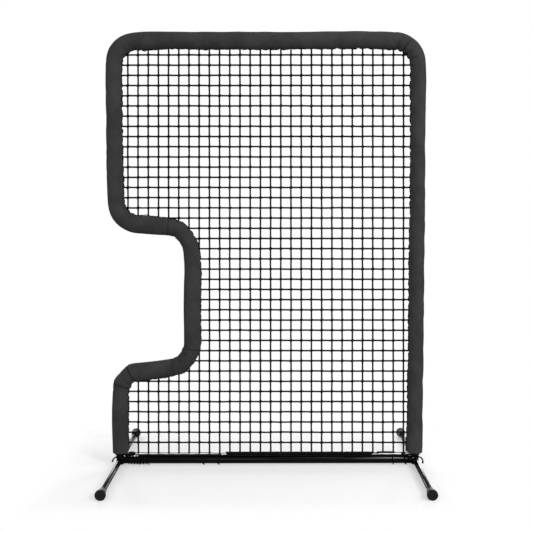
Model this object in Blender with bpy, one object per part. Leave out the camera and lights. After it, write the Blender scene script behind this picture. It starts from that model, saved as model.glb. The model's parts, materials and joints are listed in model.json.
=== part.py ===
"""Padded practice screen with a throwing notch: steel tube frame, foam and fabric sleeves, knotted net.

Metres, +Z up. X runs along the screen, the thrower's side is -Y. The origin lies on the floor under
the middle of the screen.
"""
import math

import bmesh
import bpy
from mathutils import Vector

# Frame tube
TUBE_OD = 0.0381
TUBE_WALL = 0.0016
TUBE_SIDES = 12
UPRIGHT_X = 0.746
TOP_TUBE_Z = 2.115
TOP_BEND_RADIUS = 0.118
BEND_CHORDS = 4

# Throwing notch, measured on the tube's centreline
NOTCH_X = -0.3715
LOWER_ARM_Z = 0.472
LOWER_ARM_RISE = 0.045
UPPER_ARM_Z = 1.230
UPPER_ARM_FALL = 0.0345
NOTCH_BEND_RADIUS = 0.112

# Tube joints; the one in the notch is halfway between its arms
ELBOW_JOINT_DROP = 0.162
SHOULDER_JOINT_RISE = 0.190
TOP_JOINT_X = 0.0
RIGHT_JOINT_Z = 1.100
SWAGE_CLEARANCE = 0.0003
SWAGE_LENGTH = 0.060
SWAGE_TAPER = 0.006
SEAT_GAP = 0.0004

# Snap buttons and their leaf springs
BUTTON_FROM_END = 0.025
BUTTON_DIAMETER = 0.0076
BUTTON_COLLAR_DIAMETER = 0.0100
BUTTON_COLLAR_THICKNESS = 0.0009
BUTTON_STANDS_PROUD = 0.0036
BUTTON_DOME = 0.0020
BUTTON_SIDES = 8
BUTTON_HOLE_CLEARANCE = 0.0004
BUTTON_POCKET_CLEARANCE = 0.0010
SPRING_THICKNESS = 0.0008
SPRING_WIDTH = 0.0076
SPRING_REACH = 0.0285
SPRING_SEAT_GAP = 0.0003
SPRING_BEND_STEPS = 4

# Base
RAIL_GROUND_GAP = 0.0097
LEG_OD = 0.0254
LEG_WALL = 0.0015
LEG_CLEARANCE = 0.0003
HUB_BOTTOM_Z = 0.0080
HUB_TOP_Z = 0.0482
HUB_BORE_FLOOR = 0.0050
FOOT_FACE_Y = 0.522
FOOT_ACROSS_FLATS = 0.050
FOOT_FLANGE = 0.010
FOOT_LENGTH = 0.060
FOOT_BACK_DIAMETER = 0.034
FOOT_END_WALL = 0.005
FOOT_CLEARANCE = 0.0003
ROUND_SIDES = 16

# Padding
PAD_DIAMETER = 0.079
COVER_THICKNESS = 0.0012
COVER_SLIT = 0.0056
FOAM_SLIT = 0.0072
FOAM_CLEARANCE = 0.0003
COVER_CLEARANCE = 0.0004
PAD_SIDES = 12
PAD_BOTTOM_Z = 0.059
END_DRAW = 0.0050
END_DRAW_LENGTH = 0.014
SEAM_DIP = 0.0012
SEAM_LENGTH = 0.008
PIECE_GAP = 0.0003
MITRE_REACH = 0.001
LOWER_BEND_SEAM_REACH = 0.0985
UPPER_ARM_SEAM_REACH = 0.1125

# Net: every second cord of the real mesh is modelled
NET_PITCH_TOP = 0.0994
NET_PITCH_BOTTOM = 0.1032
NET_ROW_PITCH = 0.1016
NET_MIDDLE_X = -0.0045
NET_FIRST_COLUMN = -6.75
NET_COLUMNS = 14
NET_ROWS = 19
NET_CORD = 0.0045
NET_END_GAP = 0.0004

# Ropes
BORDER_ROPE = 0.006
BORDER_ROPE_CLEARANCE = 0.0004
BOTTOM_ROPE = 0.0050
BOTTOM_ROPE_Z = 0.065
CORNER_KNOT = 0.016
CORNER_KNOT_LENGTH = 0.0256
CORNER_KNOT_INSET = 0.066
LACING_ROPE = 0.0050
LACING_CLEARANCE = 0.0005
LACING_STACK_GAP = 0.0005
TURN_POINTS = 24
LEFT_WINDING_INSET = 0.068
LEFT_WINDING_TURNS = 5
LEFT_WINDING_PITCH = 0.0155
TIE_PITCH = 0.014
TIE_XS = (-0.330, -0.254)
RIGHT_WINDING_INSET = 0.118
RIGHT_WINDING_TURNS = 3
RIGHT_WINDING_PITCH = 0.017

# How far the bottom rope sags below its ends at some places, and where it rests on the lacing
BOTTOM_ROPE_LEFT_SAG = ((-0.480, 0.0015), (-0.300, 0.0010), (-0.262, 0.0030))
BOTTOM_ROPE_REST_XS = (-0.225, 0.155, 0.528)
BOTTOM_ROPE_RIGHT_SAG = ((0.556, 0.0030), (0.590, 0.0))

# The lacing past the front of a hub: (inwards, forwards, down) from its crossing of the upright's middle
HUB_CROSSING = ((-0.006, 0.0, 0.0), (0.0, 0.0, 0.0), (0.015, 0.0007, 0.001), (0.030, 0.0018, 0.008))

# Free ends of the lacing: (outwards, back, up) from where each leaves its hub
LEFT_TAIL = ((0.0, 0.0, 0.0), (0.010, 0.0, 0.0003), (0.019, 0.001, -0.0002), (0.027, 0.0015, -0.003),
             (0.033, 0.002, -0.010), (0.037, 0.002, -0.019), (0.040, 0.002, -0.028),
             (0.0415, 0.002, -0.034))
RIGHT_TAIL = ((0.0, 0.0, 0.0), (0.010, 0.0, 0.0), (0.019, 0.001, -0.0025), (0.027, 0.0015, -0.007),
              (0.033, 0.002, -0.014), (0.037, 0.002, -0.022), (0.038, 0.002, -0.030),
              (0.0365, 0.002, -0.0365))

# Sizes that follow
TUBE_RADIUS = TUBE_OD / 2
BORE_RADIUS = TUBE_RADIUS - TUBE_WALL
SPIGOT_RADIUS = BORE_RADIUS - SWAGE_CLEARANCE
SPIGOT_BORE = SPIGOT_RADIUS - TUBE_WALL
PAD_RADIUS = PAD_DIAMETER / 2
COVER_INNER = PAD_RADIUS - COVER_THICKNESS
FOAM_RADIUS = COVER_INNER - SEAM_DIP - COVER_CLEARANCE
FOAM_BORE = TUBE_RADIUS + FOAM_CLEARANCE
RAIL_Z = RAIL_GROUND_GAP + TUBE_RADIUS
LEG_Z = FOOT_ACROSS_FLATS / 2
ELBOW_JOINT_Z = LOWER_ARM_Z - ELBOW_JOINT_DROP
NOTCH_JOINT_Z = (LOWER_ARM_Z + LOWER_ARM_RISE + UPPER_ARM_Z - UPPER_ARM_FALL) / 2
SHOULDER_JOINT_Z = UPPER_ARM_Z + SHOULDER_JOINT_RISE
LACING_RADIUS = TUBE_RADIUS + LACING_CLEARANCE + LACING_ROPE / 2
BORDER_OFFSET = TUBE_RADIUS + BORDER_ROPE_CLEARANCE + BORDER_ROPE / 2


def clear_scene():
    """Empties the scene that the model is built in."""
    for obj in list(bpy.data.objects):
        bpy.data.objects.remove(obj, do_unlink=True)


def material(name, colour, roughness, metallic=0.0):
    """Makes a Principled material in one linear colour."""
    made = bpy.data.materials.new(name)
    made.use_nodes = True
    shader = made.node_tree.nodes["Principled BSDF"]
    shader.inputs["Base Color"].default_value = (*colour, 1.0)
    shader.inputs["Roughness"].default_value = roughness
    shader.inputs["Metallic"].default_value = metallic
    return made


def finishes():
    """The part's materials by name."""
    return {
        "steel": material("black_painted_steel", (0.012, 0.012, 0.013), 0.28, 0.3),
        "rubber": material("foot_rubber", (0.035, 0.035, 0.036), 0.75),
        "zinc": material("button_zinc", (0.55, 0.55, 0.53), 0.35, 0.9),
        "spring": material("spring_steel", (0.30, 0.30, 0.31), 0.4, 0.9),
        "foam": material("grey_foam", (0.08, 0.08, 0.08), 0.95),
        "fabric": material("charcoal_fabric", (0.045, 0.045, 0.046), 0.85),
        "net": material("net_twine", (0.008, 0.008, 0.008), 0.8),
        "rope": material("lacing_rope", (0.010, 0.010, 0.010), 0.85),
    }


def add_object(name, data, finish, parent, location=(0.0, 0.0, 0.0), rotation=(0.0, 0.0, 0.0)):
    """Links an object that holds the given mesh or curve."""
    obj = bpy.data.objects.new(name, data)
    obj.location = location
    obj.rotation_euler = rotation
    obj.parent = parent
    if finish is not None:
        data.materials.append(finish)
    bpy.context.scene.collection.objects.link(obj)
    return obj


def mesh_from(bm, name, smooth_angle=40.0):
    """Turns a bmesh into a mesh with outward faces, round sides smooth and edges sharp."""
    bmesh.ops.recalc_face_normals(bm, faces=bm.faces)
    mesh = bpy.data.meshes.new(name)
    bm.to_mesh(mesh)
    bm.free()
    mesh.shade_smooth()
    mesh.set_sharp_from_angle(angle=math.radians(smooth_angle))
    return mesh


def guide(name, bm, parent, location, rotation=(0.0, 0.0, 0.0)):
    """A helper solid that only Boolean modifiers use."""
    obj = add_object(name, mesh_from(bm, name), None, parent, location, rotation)
    obj.hide_render = True
    obj.display_type = "WIRE"
    return obj


def boolean(obj, operand, operation="DIFFERENCE"):
    """Adds an exact Boolean with a helper solid."""
    modifier = obj.modifiers.new(operand.name, "BOOLEAN")
    modifier.object = operand
    modifier.operation = operation
    modifier.solver = "EXACT"


def turned(profile, sides, half_step=False):
    """A bmesh turned round Z from (radius, height) points that start and may end on the axis."""
    bm = bmesh.new()
    start = math.pi / sides if half_step else 0.0
    points = [bm.verts.new((r * math.cos(start), r * math.sin(start), z)) for r, z in profile]
    closed = profile[0][0] > 0.0
    pairs = list(zip(points, points[1:] + points[:1]))
    edges = [bm.edges.new(pair) for pair in (pairs if closed else pairs[:-1])]
    bmesh.ops.spin(bm, geom=points + edges, cent=(0, 0, 0), axis=(0, 0, 1), steps=sides,
                   angle=math.tau, use_merge=True)
    bmesh.ops.remove_doubles(bm, verts=bm.verts, dist=1e-6)
    return bm


def cylinder(radius, low, high, sides):
    """A solid cylinder round Z, for Booleans."""
    return turned([(0.0, low), (radius, low), (radius, high), (0.0, high)], sides)


def rotated(vector, angle):
    """A 2D vector turned anticlockwise."""
    c, s = math.cos(angle), math.sin(angle)
    return Vector((c * vector.x - s * vector.y, s * vector.x + c * vector.y))


def mitre(before, after):
    """The vector that offsets a corner of a line by one unit to its right."""
    first = Vector((before.y, -before.x))
    second = Vector((after.y, -after.x))
    return (first + second) / (1.0 + first.dot(second))


def offset_line(points, distance):
    """A line moved to its right, with its corners mitred."""
    steps = [(b - a).normalized() for a, b in zip(points, points[1:])]
    befores = [steps[0]] + steps
    afters = steps + [steps[-1]]
    return [p + mitre(b, a) * distance for p, b, a in zip(points, befores, afters)]


class FramePath:
    """The padded frame's centreline in the XZ plane, from the left base round to the right base.

    Each bend is a row of equal chords that touch its arc, so tube, foam and cover stay parallel.
    The net always lies to the right of the path.
    """

    def __init__(self, corners):
        """corners: (x, z, bend radius) of each corner, with radius 0 at both ends."""
        self.points = []
        self.bend_starts = []
        places = [Vector(corner[:2]) for corner in corners]
        for index, (x, z, radius) in enumerate(corners):
            if radius == 0.0:
                self.points.append(Vector((x, z)))
                continue
            before = (places[index] - places[index - 1]).normalized()
            after = (places[index + 1] - places[index]).normalized()
            turn = before.angle_signed(after)
            chord = abs(turn) / BEND_CHORDS
            self.bend_starts.append(len(self.points))
            point = places[index] - before * radius * math.tan(abs(turn) / 2)
            heading = before
            for step in range(BEND_CHORDS):
                reach = radius * math.tan(chord / 2)
                point = point + heading * reach
                self.points.append(point)
                heading = rotated(heading, -math.copysign(chord, turn))
                point = point + heading * reach
        self.lengths = [0.0]
        for a, b in zip(self.points, self.points[1:]):
            self.lengths.append(self.lengths[-1] + (b - a).length)

    def bend(self, index, step):
        """Distance along the path of a bend's chord corner."""
        return self.lengths[self.bend_starts[index] + step]

    def mid_chord(self, index, step):
        """Distance along the path of the middle of a bend's chord, from corner step to the next."""
        return (self.bend(index, step) + self.bend(index, step + 1)) / 2

    def run(self, index, x=None, z=None):
        """Distance along the path of the place on a straight run with this x or z."""
        first = 0 if index == 0 else self.bend_starts[index - 1] + BEND_CHORDS - 1
        a, b = self.points[first], self.points[first + 1]
        share = (x - a.x) / (b.x - a.x) if z is None else (z - a.y) / (b.y - a.y)
        return self.lengths[first] + share * (b - a).length

    def step(self, index):
        """Unit direction of the chord that starts at a corner."""
        return (self.points[index + 1] - self.points[index]).normalized()

    def chord(self, s):
        """Index of the chord that holds a distance."""
        last = len(self.points) - 2
        return next((k for k in range(last) if s <= self.lengths[k + 1]), last)

    def place(self, s):
        """Point and right-hand offset vector at a distance, mitred beside a corner."""
        index = self.chord(s)
        ahead = self.step(index)
        point = self.points[index] + ahead * (s - self.lengths[index])
        for corner in (index, index + 1):
            if 0 < corner < len(self.points) - 1 and abs(s - self.lengths[corner]) < MITRE_REACH:
                return point, mitre(self.step(corner - 1), self.step(corner))
        return point, mitre(ahead, ahead)

    def corners_between(self, start, end):
        """Distances of the chord corners strictly inside a stretch."""
        return [s for s in self.lengths if start + 1e-5 < s < end - 1e-5]


def frame_path():
    """The centreline that the whole frame follows."""
    return FramePath([
        (-UPRIGHT_X, HUB_TOP_Z + SEAT_GAP, 0.0),
        (-UPRIGHT_X, LOWER_ARM_Z, NOTCH_BEND_RADIUS),
        (NOTCH_X, LOWER_ARM_Z + LOWER_ARM_RISE, NOTCH_BEND_RADIUS),
        (NOTCH_X, UPPER_ARM_Z - UPPER_ARM_FALL, NOTCH_BEND_RADIUS),
        (-UPRIGHT_X, UPPER_ARM_Z, NOTCH_BEND_RADIUS),
        (-UPRIGHT_X, TOP_TUBE_Z, TOP_BEND_RADIUS),
        (UPRIGHT_X, TOP_TUBE_Z, TOP_BEND_RADIUS),
        (UPRIGHT_X, HUB_TOP_Z + SEAT_GAP, 0.0),
    ])


def ring_points(radius, sides, slit):
    """(towards the net, back) points of one ring, with a slit towards the net or none at 0."""
    if slit == 0.0:
        angles = [math.tau * k / sides for k in range(sides)]
        return [(radius * math.cos(a), radius * math.sin(a)) for a in angles]
    half = slit / 2
    edge = math.sqrt(radius ** 2 - half ** 2)
    angles = [math.tau * k / sides for k in range(1, sides)]
    middle = [(radius * math.cos(a), radius * math.sin(a)) for a in angles]
    return [(edge, half)] + middle + [(edge, -half)]


def sleeve(path, stations, sides, slit=0.0):
    """A bmesh of a tube or slit sleeve along the path.

    stations: (distance, outer radius, inner radius) along the path.
    """
    bm = bmesh.new()
    origin = path.place(stations[0][0])[0]
    loops = []
    for s, outer, inner in stations:
        point, across = path.place(s)
        rows = []
        for radius in (outer, inner):
            rows.append([
                bm.verts.new((point.x + u * across.x - origin.x, v, point.y + u * across.y - origin.y))
                for u, v in ring_points(radius, sides, slit)
            ])
        loops.append(rows)
    count = len(loops[0][0])
    spans = range(count) if slit == 0.0 else range(count - 1)
    for (outer_a, inner_a), (outer_b, inner_b) in zip(loops, loops[1:]):
        for k in spans:
            n = (k + 1) % count
            bm.faces.new((outer_a[k], outer_a[n], outer_b[n], outer_b[k]))
            bm.faces.new((inner_a[k], inner_b[k], inner_b[n], inner_a[n]))
        if slit:
            for k in (0, count - 1):
                bm.faces.new((outer_a[k], outer_b[k], inner_b[k], inner_a[k]))
    for outer, inner in (loops[0], loops[-1]):
        for k in spans:
            n = (k + 1) % count
            bm.faces.new((outer[k], inner[k], inner[n], outer[n]))
    return bm, Vector((origin.x, 0.0, origin.y))


def path_piece(path, name, stations, sides, finish, parent, slit=0.0):
    """An object made along the frame path, with its origin where it starts."""
    bm, origin = sleeve(path, stations, sides, slit)
    return add_object(name, mesh_from(bm, name), finish, parent, origin)


def with_corners(path, start, end, radii):
    """Stations of one section from start to end, with a ring at each chord corner."""
    return [(s, *radii) for s in [start] + path.corners_between(start, end) + [end]]


def frame_tube(path, name, start, end, swaged, finish, parent):
    """A frame tube from start to end, with its far end swaged past end where asked."""
    plain = (TUBE_RADIUS, BORE_RADIUS)
    if not swaged:
        return path_piece(path, name, with_corners(path, start, end, plain), TUBE_SIDES, finish, parent)
    stations = with_corners(path, start, end - SWAGE_TAPER, plain)
    stations.append((end, SPIGOT_RADIUS, SPIGOT_BORE))
    stations.append((end + SWAGE_LENGTH, SPIGOT_RADIUS, SPIGOT_BORE))
    return path_piece(path, name, stations, TUBE_SIDES, finish, parent)


def build_tubes(path, joints, steel, parent):
    """The six padded frame tubes."""
    names = ("left_lower_upright", "notch_lower_tube", "notch_upper_tube",
             "top_left_tube", "top_right_tube", "right_lower_upright")
    starts = [0.0] + [s + SEAT_GAP for s in joints]
    ends = joints + [path.lengths[-1]]
    tubes = []
    for name, start, end in zip(names, starts, ends):
        tubes.append(frame_tube(path, name, start, end, end != ends[-1], steel, parent))
    return tubes


def build_rail(steel, parent):
    """The bare bottom rail between the two hubs."""
    half = UPRIGHT_X - TUBE_RADIUS - SEAT_GAP
    profile = [(TUBE_RADIUS, -half), (TUBE_RADIUS, half), (BORE_RADIUS, half), (BORE_RADIUS, -half)]
    mesh = mesh_from(turned(profile, TUBE_SIDES), "bottom_rail")
    return add_object("bottom_rail", mesh, steel, parent, (0.0, 0.0, RAIL_Z), (0.0, math.pi / 2, 0.0))


def build_hub(side, name, steel, parent):
    """A base hub: leg bore, upright spigot and rail spigot."""
    floor = HUB_TOP_Z + HUB_BORE_FLOOR
    top = HUB_TOP_Z + SWAGE_LENGTH
    profile = [
        (0.0, HUB_BOTTOM_Z), (TUBE_RADIUS, HUB_BOTTOM_Z), (TUBE_RADIUS, HUB_TOP_Z),
        (SPIGOT_RADIUS, HUB_TOP_Z), (SPIGOT_RADIUS, top), (SPIGOT_BORE, top), (SPIGOT_BORE, floor),
        (0.0, floor),
    ]
    place = Vector((side * UPRIGHT_X, 0.0, 0.0))
    hub = add_object(name, mesh_from(turned(profile, TUBE_SIDES), name), steel, parent, place)
    root = TUBE_RADIUS / 4
    mouth = TUBE_RADIUS + SWAGE_LENGTH
    bore_start = TUBE_RADIUS + HUB_BORE_FLOOR - TUBE_WALL
    stub_profile = [(0.0, root), (SPIGOT_RADIUS, root), (SPIGOT_RADIUS, mouth), (SPIGOT_BORE, mouth),
                    (SPIGOT_BORE, bore_start), (0.0, bore_start)]
    turn = (0.0, -side * math.pi / 2, 0.0)
    stub = guide(name + "_stub", turned(stub_profile, TUBE_SIDES), parent,
                 place + Vector((0.0, 0.0, RAIL_Z)), turn)
    boolean(hub, stub, "UNION")
    reach = TUBE_OD
    bore = cylinder(LEG_OD / 2 + LEG_CLEARANCE, -reach, reach, ROUND_SIDES)
    cutter = guide(name + "_leg_bore", bore, parent, place + Vector((0.0, 0.0, LEG_Z)),
                   (-math.pi / 2, 0.0, 0.0))
    boolean(hub, cutter)
    return hub


def build_leg(side, name, steel, parent):
    """A leg tube that runs front to back through its hub."""
    half = FOOT_FACE_Y - FOOT_END_WALL - SEAT_GAP
    outer, inner = LEG_OD / 2, LEG_OD / 2 - LEG_WALL
    profile = [(outer, -half), (outer, half), (inner, half), (inner, -half)]
    mesh = mesh_from(turned(profile, ROUND_SIDES), name)
    return add_object(name, mesh, steel, parent, (side * UPRIGHT_X, 0.0, LEG_Z), (-math.pi / 2, 0.0, 0.0))


def build_foot(side, end, name, rubber, parent):
    """A rubber ferrule with a flat side on the floor. end is -1 in front and 1 behind."""
    corner = 1.0 / math.cos(math.pi / ROUND_SIDES)
    flange = FOOT_ACROSS_FLATS / 2 * corner
    back = FOOT_BACK_DIAMETER / 2
    bore = (LEG_OD / 2 + FOOT_CLEARANCE) * corner
    profile = [(0.0, 0.0), (flange, 0.0), (flange, -FOOT_FLANGE), (back, -FOOT_LENGTH),
               (bore, -FOOT_LENGTH), (bore, -FOOT_END_WALL), (0.0, -FOOT_END_WALL)]
    mesh = mesh_from(turned(profile, ROUND_SIDES, half_step=True), name)
    return add_object(name, mesh, rubber, parent, (side * UPRIGHT_X, end * FOOT_FACE_Y, LEG_Z),
                      (-end * math.pi / 2, 0.0, 0.0))


def button_profile():
    """(radius, height) points of a snap button, its height measured from the tube's centreline."""
    wall = SPIGOT_BORE - BUTTON_COLLAR_DIAMETER / 2 * math.tan(math.pi / TUBE_SIDES)
    collar_top = wall - SWAGE_CLEARANCE
    collar = collar_top - BUTTON_COLLAR_THICKNESS
    top = TUBE_RADIUS + BUTTON_STANDS_PROUD
    pin = BUTTON_DIAMETER / 2
    slant = math.sqrt(0.5)
    shoulder = (pin * slant, top - BUTTON_DOME * (1.0 - slant))
    return [(0.0, collar), (BUTTON_COLLAR_DIAMETER / 2, collar), (BUTTON_COLLAR_DIAMETER / 2, collar_top),
            (pin, collar_top), (pin, top - BUTTON_DOME), shoulder, (0.0, top)]


def spring_line():
    """Centreline of a leaf spring, a flat U: (distance from the button along the tube, height)."""
    top = button_profile()[0][1] - SPRING_SEAT_GAP - SPRING_THICKNESS / 2
    wall = SPIGOT_BORE - SPRING_WIDTH / 2 * math.tan(math.pi / TUBE_SIDES)
    low = -(wall - SPRING_SEAT_GAP - SPRING_THICKNESS / 2)
    pad = BUTTON_COLLAR_DIAMETER / 2
    radius = (top - low) / 2
    middle = Vector((SPRING_REACH - radius, (top + low) / 2))
    angles = [math.pi * k / SPRING_BEND_STEPS for k in range(SPRING_BEND_STEPS + 1)]
    bend = [middle + Vector((math.sin(a), math.cos(a))) * radius for a in angles]
    return [Vector((-pad, top))] + bend + [Vector((-pad, low))]


def build_spring(name, place, inward, finish, parent):
    """A bent leaf spring; inward is the unit direction from the button into its tube."""
    line = spring_line()
    half = SPRING_THICKNESS / 2
    outline = offset_line(line, half) + offset_line(line, -half)[::-1]
    across = Vector((0.0, 1.0, 0.0)).cross(inward)
    bm = bmesh.new()
    shift = across * SPRING_WIDTH / 2
    verts = [bm.verts.new(inward * p.x + Vector((0.0, p.y, 0.0)) - shift) for p in outline]
    face = bm.faces.new(verts)
    grown = bmesh.ops.extrude_face_region(bm, geom=[face])
    moved = [item for item in grown["geom"] if isinstance(item, bmesh.types.BMVert)]
    bmesh.ops.translate(bm, vec=shift * 2, verts=moved)
    return add_object(name, mesh_from(bm, name, 25.0), finish, parent, place)


def build_button(name, place, inward, holders, foam, looks, parent):
    """A snap button, its spring, and the holes and pocket that it stands in."""
    back = (-math.pi / 2, 0.0, 0.0)
    mesh = mesh_from(turned(button_profile(), BUTTON_SIDES), name)
    add_object(name + "_button", mesh, looks["zinc"], parent, place, back)
    build_spring(name + "_spring", place, inward, looks["spring"], parent)
    hole_radius = (BUTTON_DIAMETER / 2 + BUTTON_HOLE_CLEARANCE) / math.cos(math.pi / TUBE_SIDES)
    hole = guide(name + "_hole", cylinder(hole_radius, SPIGOT_BORE / 2, TUBE_OD, TUBE_SIDES), parent,
                 place, back)
    for holder in holders:
        boolean(holder, hole)
    if foam is not None:
        top = TUBE_RADIUS + BUTTON_STANDS_PROUD + BUTTON_POCKET_CLEARANCE
        radius = hole_radius + BUTTON_POCKET_CLEARANCE
        pocket = guide(name + "_pocket", cylinder(radius, SPIGOT_BORE, top, TUBE_SIDES), parent, place, back)
        boolean(foam, pocket)


def foam_stations(path, start, end, open_start, open_end):
    """Stations of a foam sleeve, drawn in with its cover at an open end."""
    full = (FOAM_RADIUS, FOAM_BORE)
    drawn = (FOAM_RADIUS - END_DRAW, FOAM_BORE)
    head = [(start, *drawn)] if open_start else []
    tail = [(end, *drawn)] if open_end else []
    inner_start = start + END_DRAW_LENGTH if open_start else start
    inner_end = end - END_DRAW_LENGTH if open_end else end
    return head + with_corners(path, inner_start, inner_end, full) + tail


def build_foams(path, joints, foam, parent):
    """Foam sleeves, one on each padded tube."""
    names = ("left_lower_foam", "notch_lower_foam", "notch_upper_foam",
             "top_left_foam", "top_right_foam", "right_lower_foam")
    bottom = PAD_BOTTOM_Z + COVER_THICKNESS
    breaks = [path.run(0, z=bottom), path.bend(0, 0)] + joints[1:] + [path.run(6, z=bottom)]
    made = []
    for name, start, end in zip(names, breaks, breaks[1:]):
        stations = foam_stations(path, start + PIECE_GAP / 2, end - PIECE_GAP / 2,
                                 name == names[0], name == names[-1])
        made.append(path_piece(path, name, stations, PAD_SIDES, foam, parent, FOAM_SLIT))
    return made


def cover_stations(path, start, end, open_start, open_end):
    """Stations of a cover, dipped at its seams and drawn in at an open end."""
    full = (PAD_RADIUS, COVER_INNER)
    drawn = (PAD_RADIUS - END_DRAW, COVER_INNER - END_DRAW)
    dipped = (PAD_RADIUS - SEAM_DIP, COVER_INNER - SEAM_DIP)
    head = END_DRAW_LENGTH if open_start else SEAM_LENGTH
    tail = END_DRAW_LENGTH if open_end else SEAM_LENGTH
    inner = with_corners(path, start + head, end - tail, full)
    first = (start, *(drawn if open_start else dipped))
    last = (end, *(drawn if open_end else dipped))
    return [first] + inner + [last]


def build_covers(path, fabric, parent):
    """Sewn covers between the seams, from the left bottom round to the right bottom."""
    names = ("left_lower_cover", "lower_elbow_cover", "lower_arm_cover", "lower_bend_cover",
             "notch_side_cover", "upper_left_cover", "right_cover")
    breaks = [
        path.run(0, z=PAD_BOTTOM_Z), path.mid_chord(0, 0), path.mid_chord(0, BEND_CHORDS - 2),
        path.run(1, x=NOTCH_X - LOWER_BEND_SEAM_REACH), path.bend(1, BEND_CHORDS - 1),
        path.run(3, x=NOTCH_X - UPPER_ARM_SEAM_REACH), path.bend(5, 1), path.run(6, z=PAD_BOTTOM_Z),
    ]
    last = len(names) - 1
    for index, (name, start, end) in enumerate(zip(names, breaks, breaks[1:])):
        begin = start if index == 0 else start + PIECE_GAP / 2
        finish = end if index == last else end - PIECE_GAP / 2
        stations = cover_stations(path, begin, finish, index == 0, index == last)
        path_piece(path, name, stations, PAD_SIDES, fabric, parent, COVER_SLIT)


def rope(name, points, diameter, finish, parent, swell=None, rounding=1):
    """A round rope along points. swell gives a radius factor for each point, for knots."""
    curve = bpy.data.curves.new(name, "CURVE")
    curve.dimensions = "3D"
    curve.bevel_depth = diameter / 2
    curve.bevel_resolution = rounding
    curve.use_fill_caps = True
    origin = Vector(points[0])
    spline = curve.splines.new("POLY")
    spline.points.add(len(points) - 1)
    for index, point in enumerate(points):
        spline.points[index].co = (*(Vector(point) - origin), 1.0)
        spline.points[index].radius = 1.0 if swell is None else swell[index]
    return add_object(name, curve, finish, parent, origin)


def smooth_route(points, spacing):
    """Points a spacing apart on a smooth curve through the given points."""
    route = []
    padded = [points[0] * 2 - points[1]] + points + [points[-1] * 2 - points[-2]]
    for a, b, c, d in zip(padded, padded[1:], padded[2:], padded[3:]):
        steps = max(1, round((c - b).length / spacing))
        for k in range(steps):
            t = k / steps
            route.append(0.5 * (2 * b + (c - a) * t + (2 * a - 5 * b + 4 * c - d) * t * t
                                + (3 * b - a - 3 * c + d) * t * t * t))
    return route + [points[-1]]


def bottom_rope_line():
    """(x, z, swell) along the net's bottom rope, which rests on the lacing in the middle."""
    end_x = UPRIGHT_X - BORDER_OFFSET - BORDER_ROPE / 2 - NET_END_GAP
    resting = RAIL_Z + LACING_RADIUS + LACING_ROPE / 2 + LACING_STACK_GAP + BOTTOM_ROPE / 2
    knot = CORNER_KNOT / BOTTOM_ROPE
    half = CORNER_KNOT_LENGTH / 2
    slope = math.sqrt(0.75)
    knot_x = UPRIGHT_X - CORNER_KNOT_INSET
    swells = ((end_x, 1.0), (knot_x + half, 1.0), (knot_x + half / 2, knot * slope), (knot_x, knot),
              (knot_x - half / 2, knot * slope), (knot_x - half, 1.0))
    left = [(-x, BOTTOM_ROPE_Z, swell) for x, swell in swells]
    right = [(x, BOTTOM_ROPE_Z, swell) for x, swell in swells[::-1]]
    left_sag = [(x, BOTTOM_ROPE_Z - sag, 1.0) for x, sag in BOTTOM_ROPE_LEFT_SAG]
    rests = [(x, resting, 1.0) for x in BOTTOM_ROPE_REST_XS]
    right_sag = [(x, BOTTOM_ROPE_Z - sag, 1.0) for x, sag in BOTTOM_ROPE_RIGHT_SAG]
    return left + left_sag + rests + right_sag + right


def lacing_route():
    """Points of the lacing rope: it lies on the rail and winds round it at the ties and both ends."""

    def on_rail(x, turn):
        angle = math.tau * turn
        return Vector((x, -LACING_RADIUS * math.sin(angle), RAIL_Z + LACING_RADIUS * math.cos(angle)))

    def winding(x, turns, pitch, start_turn=0.0):
        count = round(turns * TURN_POINTS)
        return [on_rail(x + pitch * k / TURN_POINTS, start_turn + k / TURN_POINTS) for k in range(count + 1)]

    quarter = 0.25
    left_x = LEFT_WINDING_INSET - UPRIGHT_X
    right_x = UPRIGHT_X - RIGHT_WINDING_INSET
    left = winding(left_x, LEFT_WINDING_TURNS - quarter, LEFT_WINDING_PITCH, quarter)
    ties = [winding(x, 1, TIE_PITCH) for x in TIE_XS]
    right = winding(right_x, RIGHT_WINDING_TURNS + quarter, RIGHT_WINDING_PITCH)
    return hub_crossing(-1) + left + ties[0] + ties[1] + right + hub_crossing(1)[::-1]


def hub_crossing(side):
    """Lacing points from a tail to the rail: past the front of the hub, above the leg."""
    height = HUB_TOP_Z + LACING_CLEARANCE
    return [Vector((side * (UPRIGHT_X - inward), -LACING_RADIUS - forward, height - down))
            for inward, forward, down in HUB_CROSSING]


def least_gap(points, diameter, apart):
    """Least clear gap between stretches of a rope that lie some points apart."""
    least = math.inf
    for i, a in enumerate(points):
        for b in points[i + apart:]:
            least = min(least, (a - b).length - diameter)
    return least


def net_outline(path):
    """The line in the XZ plane that the net's cords stop at."""
    reach = BORDER_OFFSET + BORDER_ROPE / 2 + NET_END_GAP
    sides = offset_line(path.points, reach)
    bottom = [Vector((x, z + BOTTOM_ROPE / 2 * swell + NET_END_GAP)) for x, z, swell in bottom_rope_line()]
    inner = [p for p in bottom if abs(p.x) < UPRIGHT_X - reach]
    return sides + inner[::-1]


def inside(point, outline):
    """True where a point lies inside a closed line."""
    odd = False
    for a, b in zip(outline, outline[1:] + outline[:1]):
        if (a.y > point.y) != (b.y > point.y):
            if point.x < a.x + (point.y - a.y) / (b.y - a.y) * (b.x - a.x):
                odd = not odd
    return odd


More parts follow.
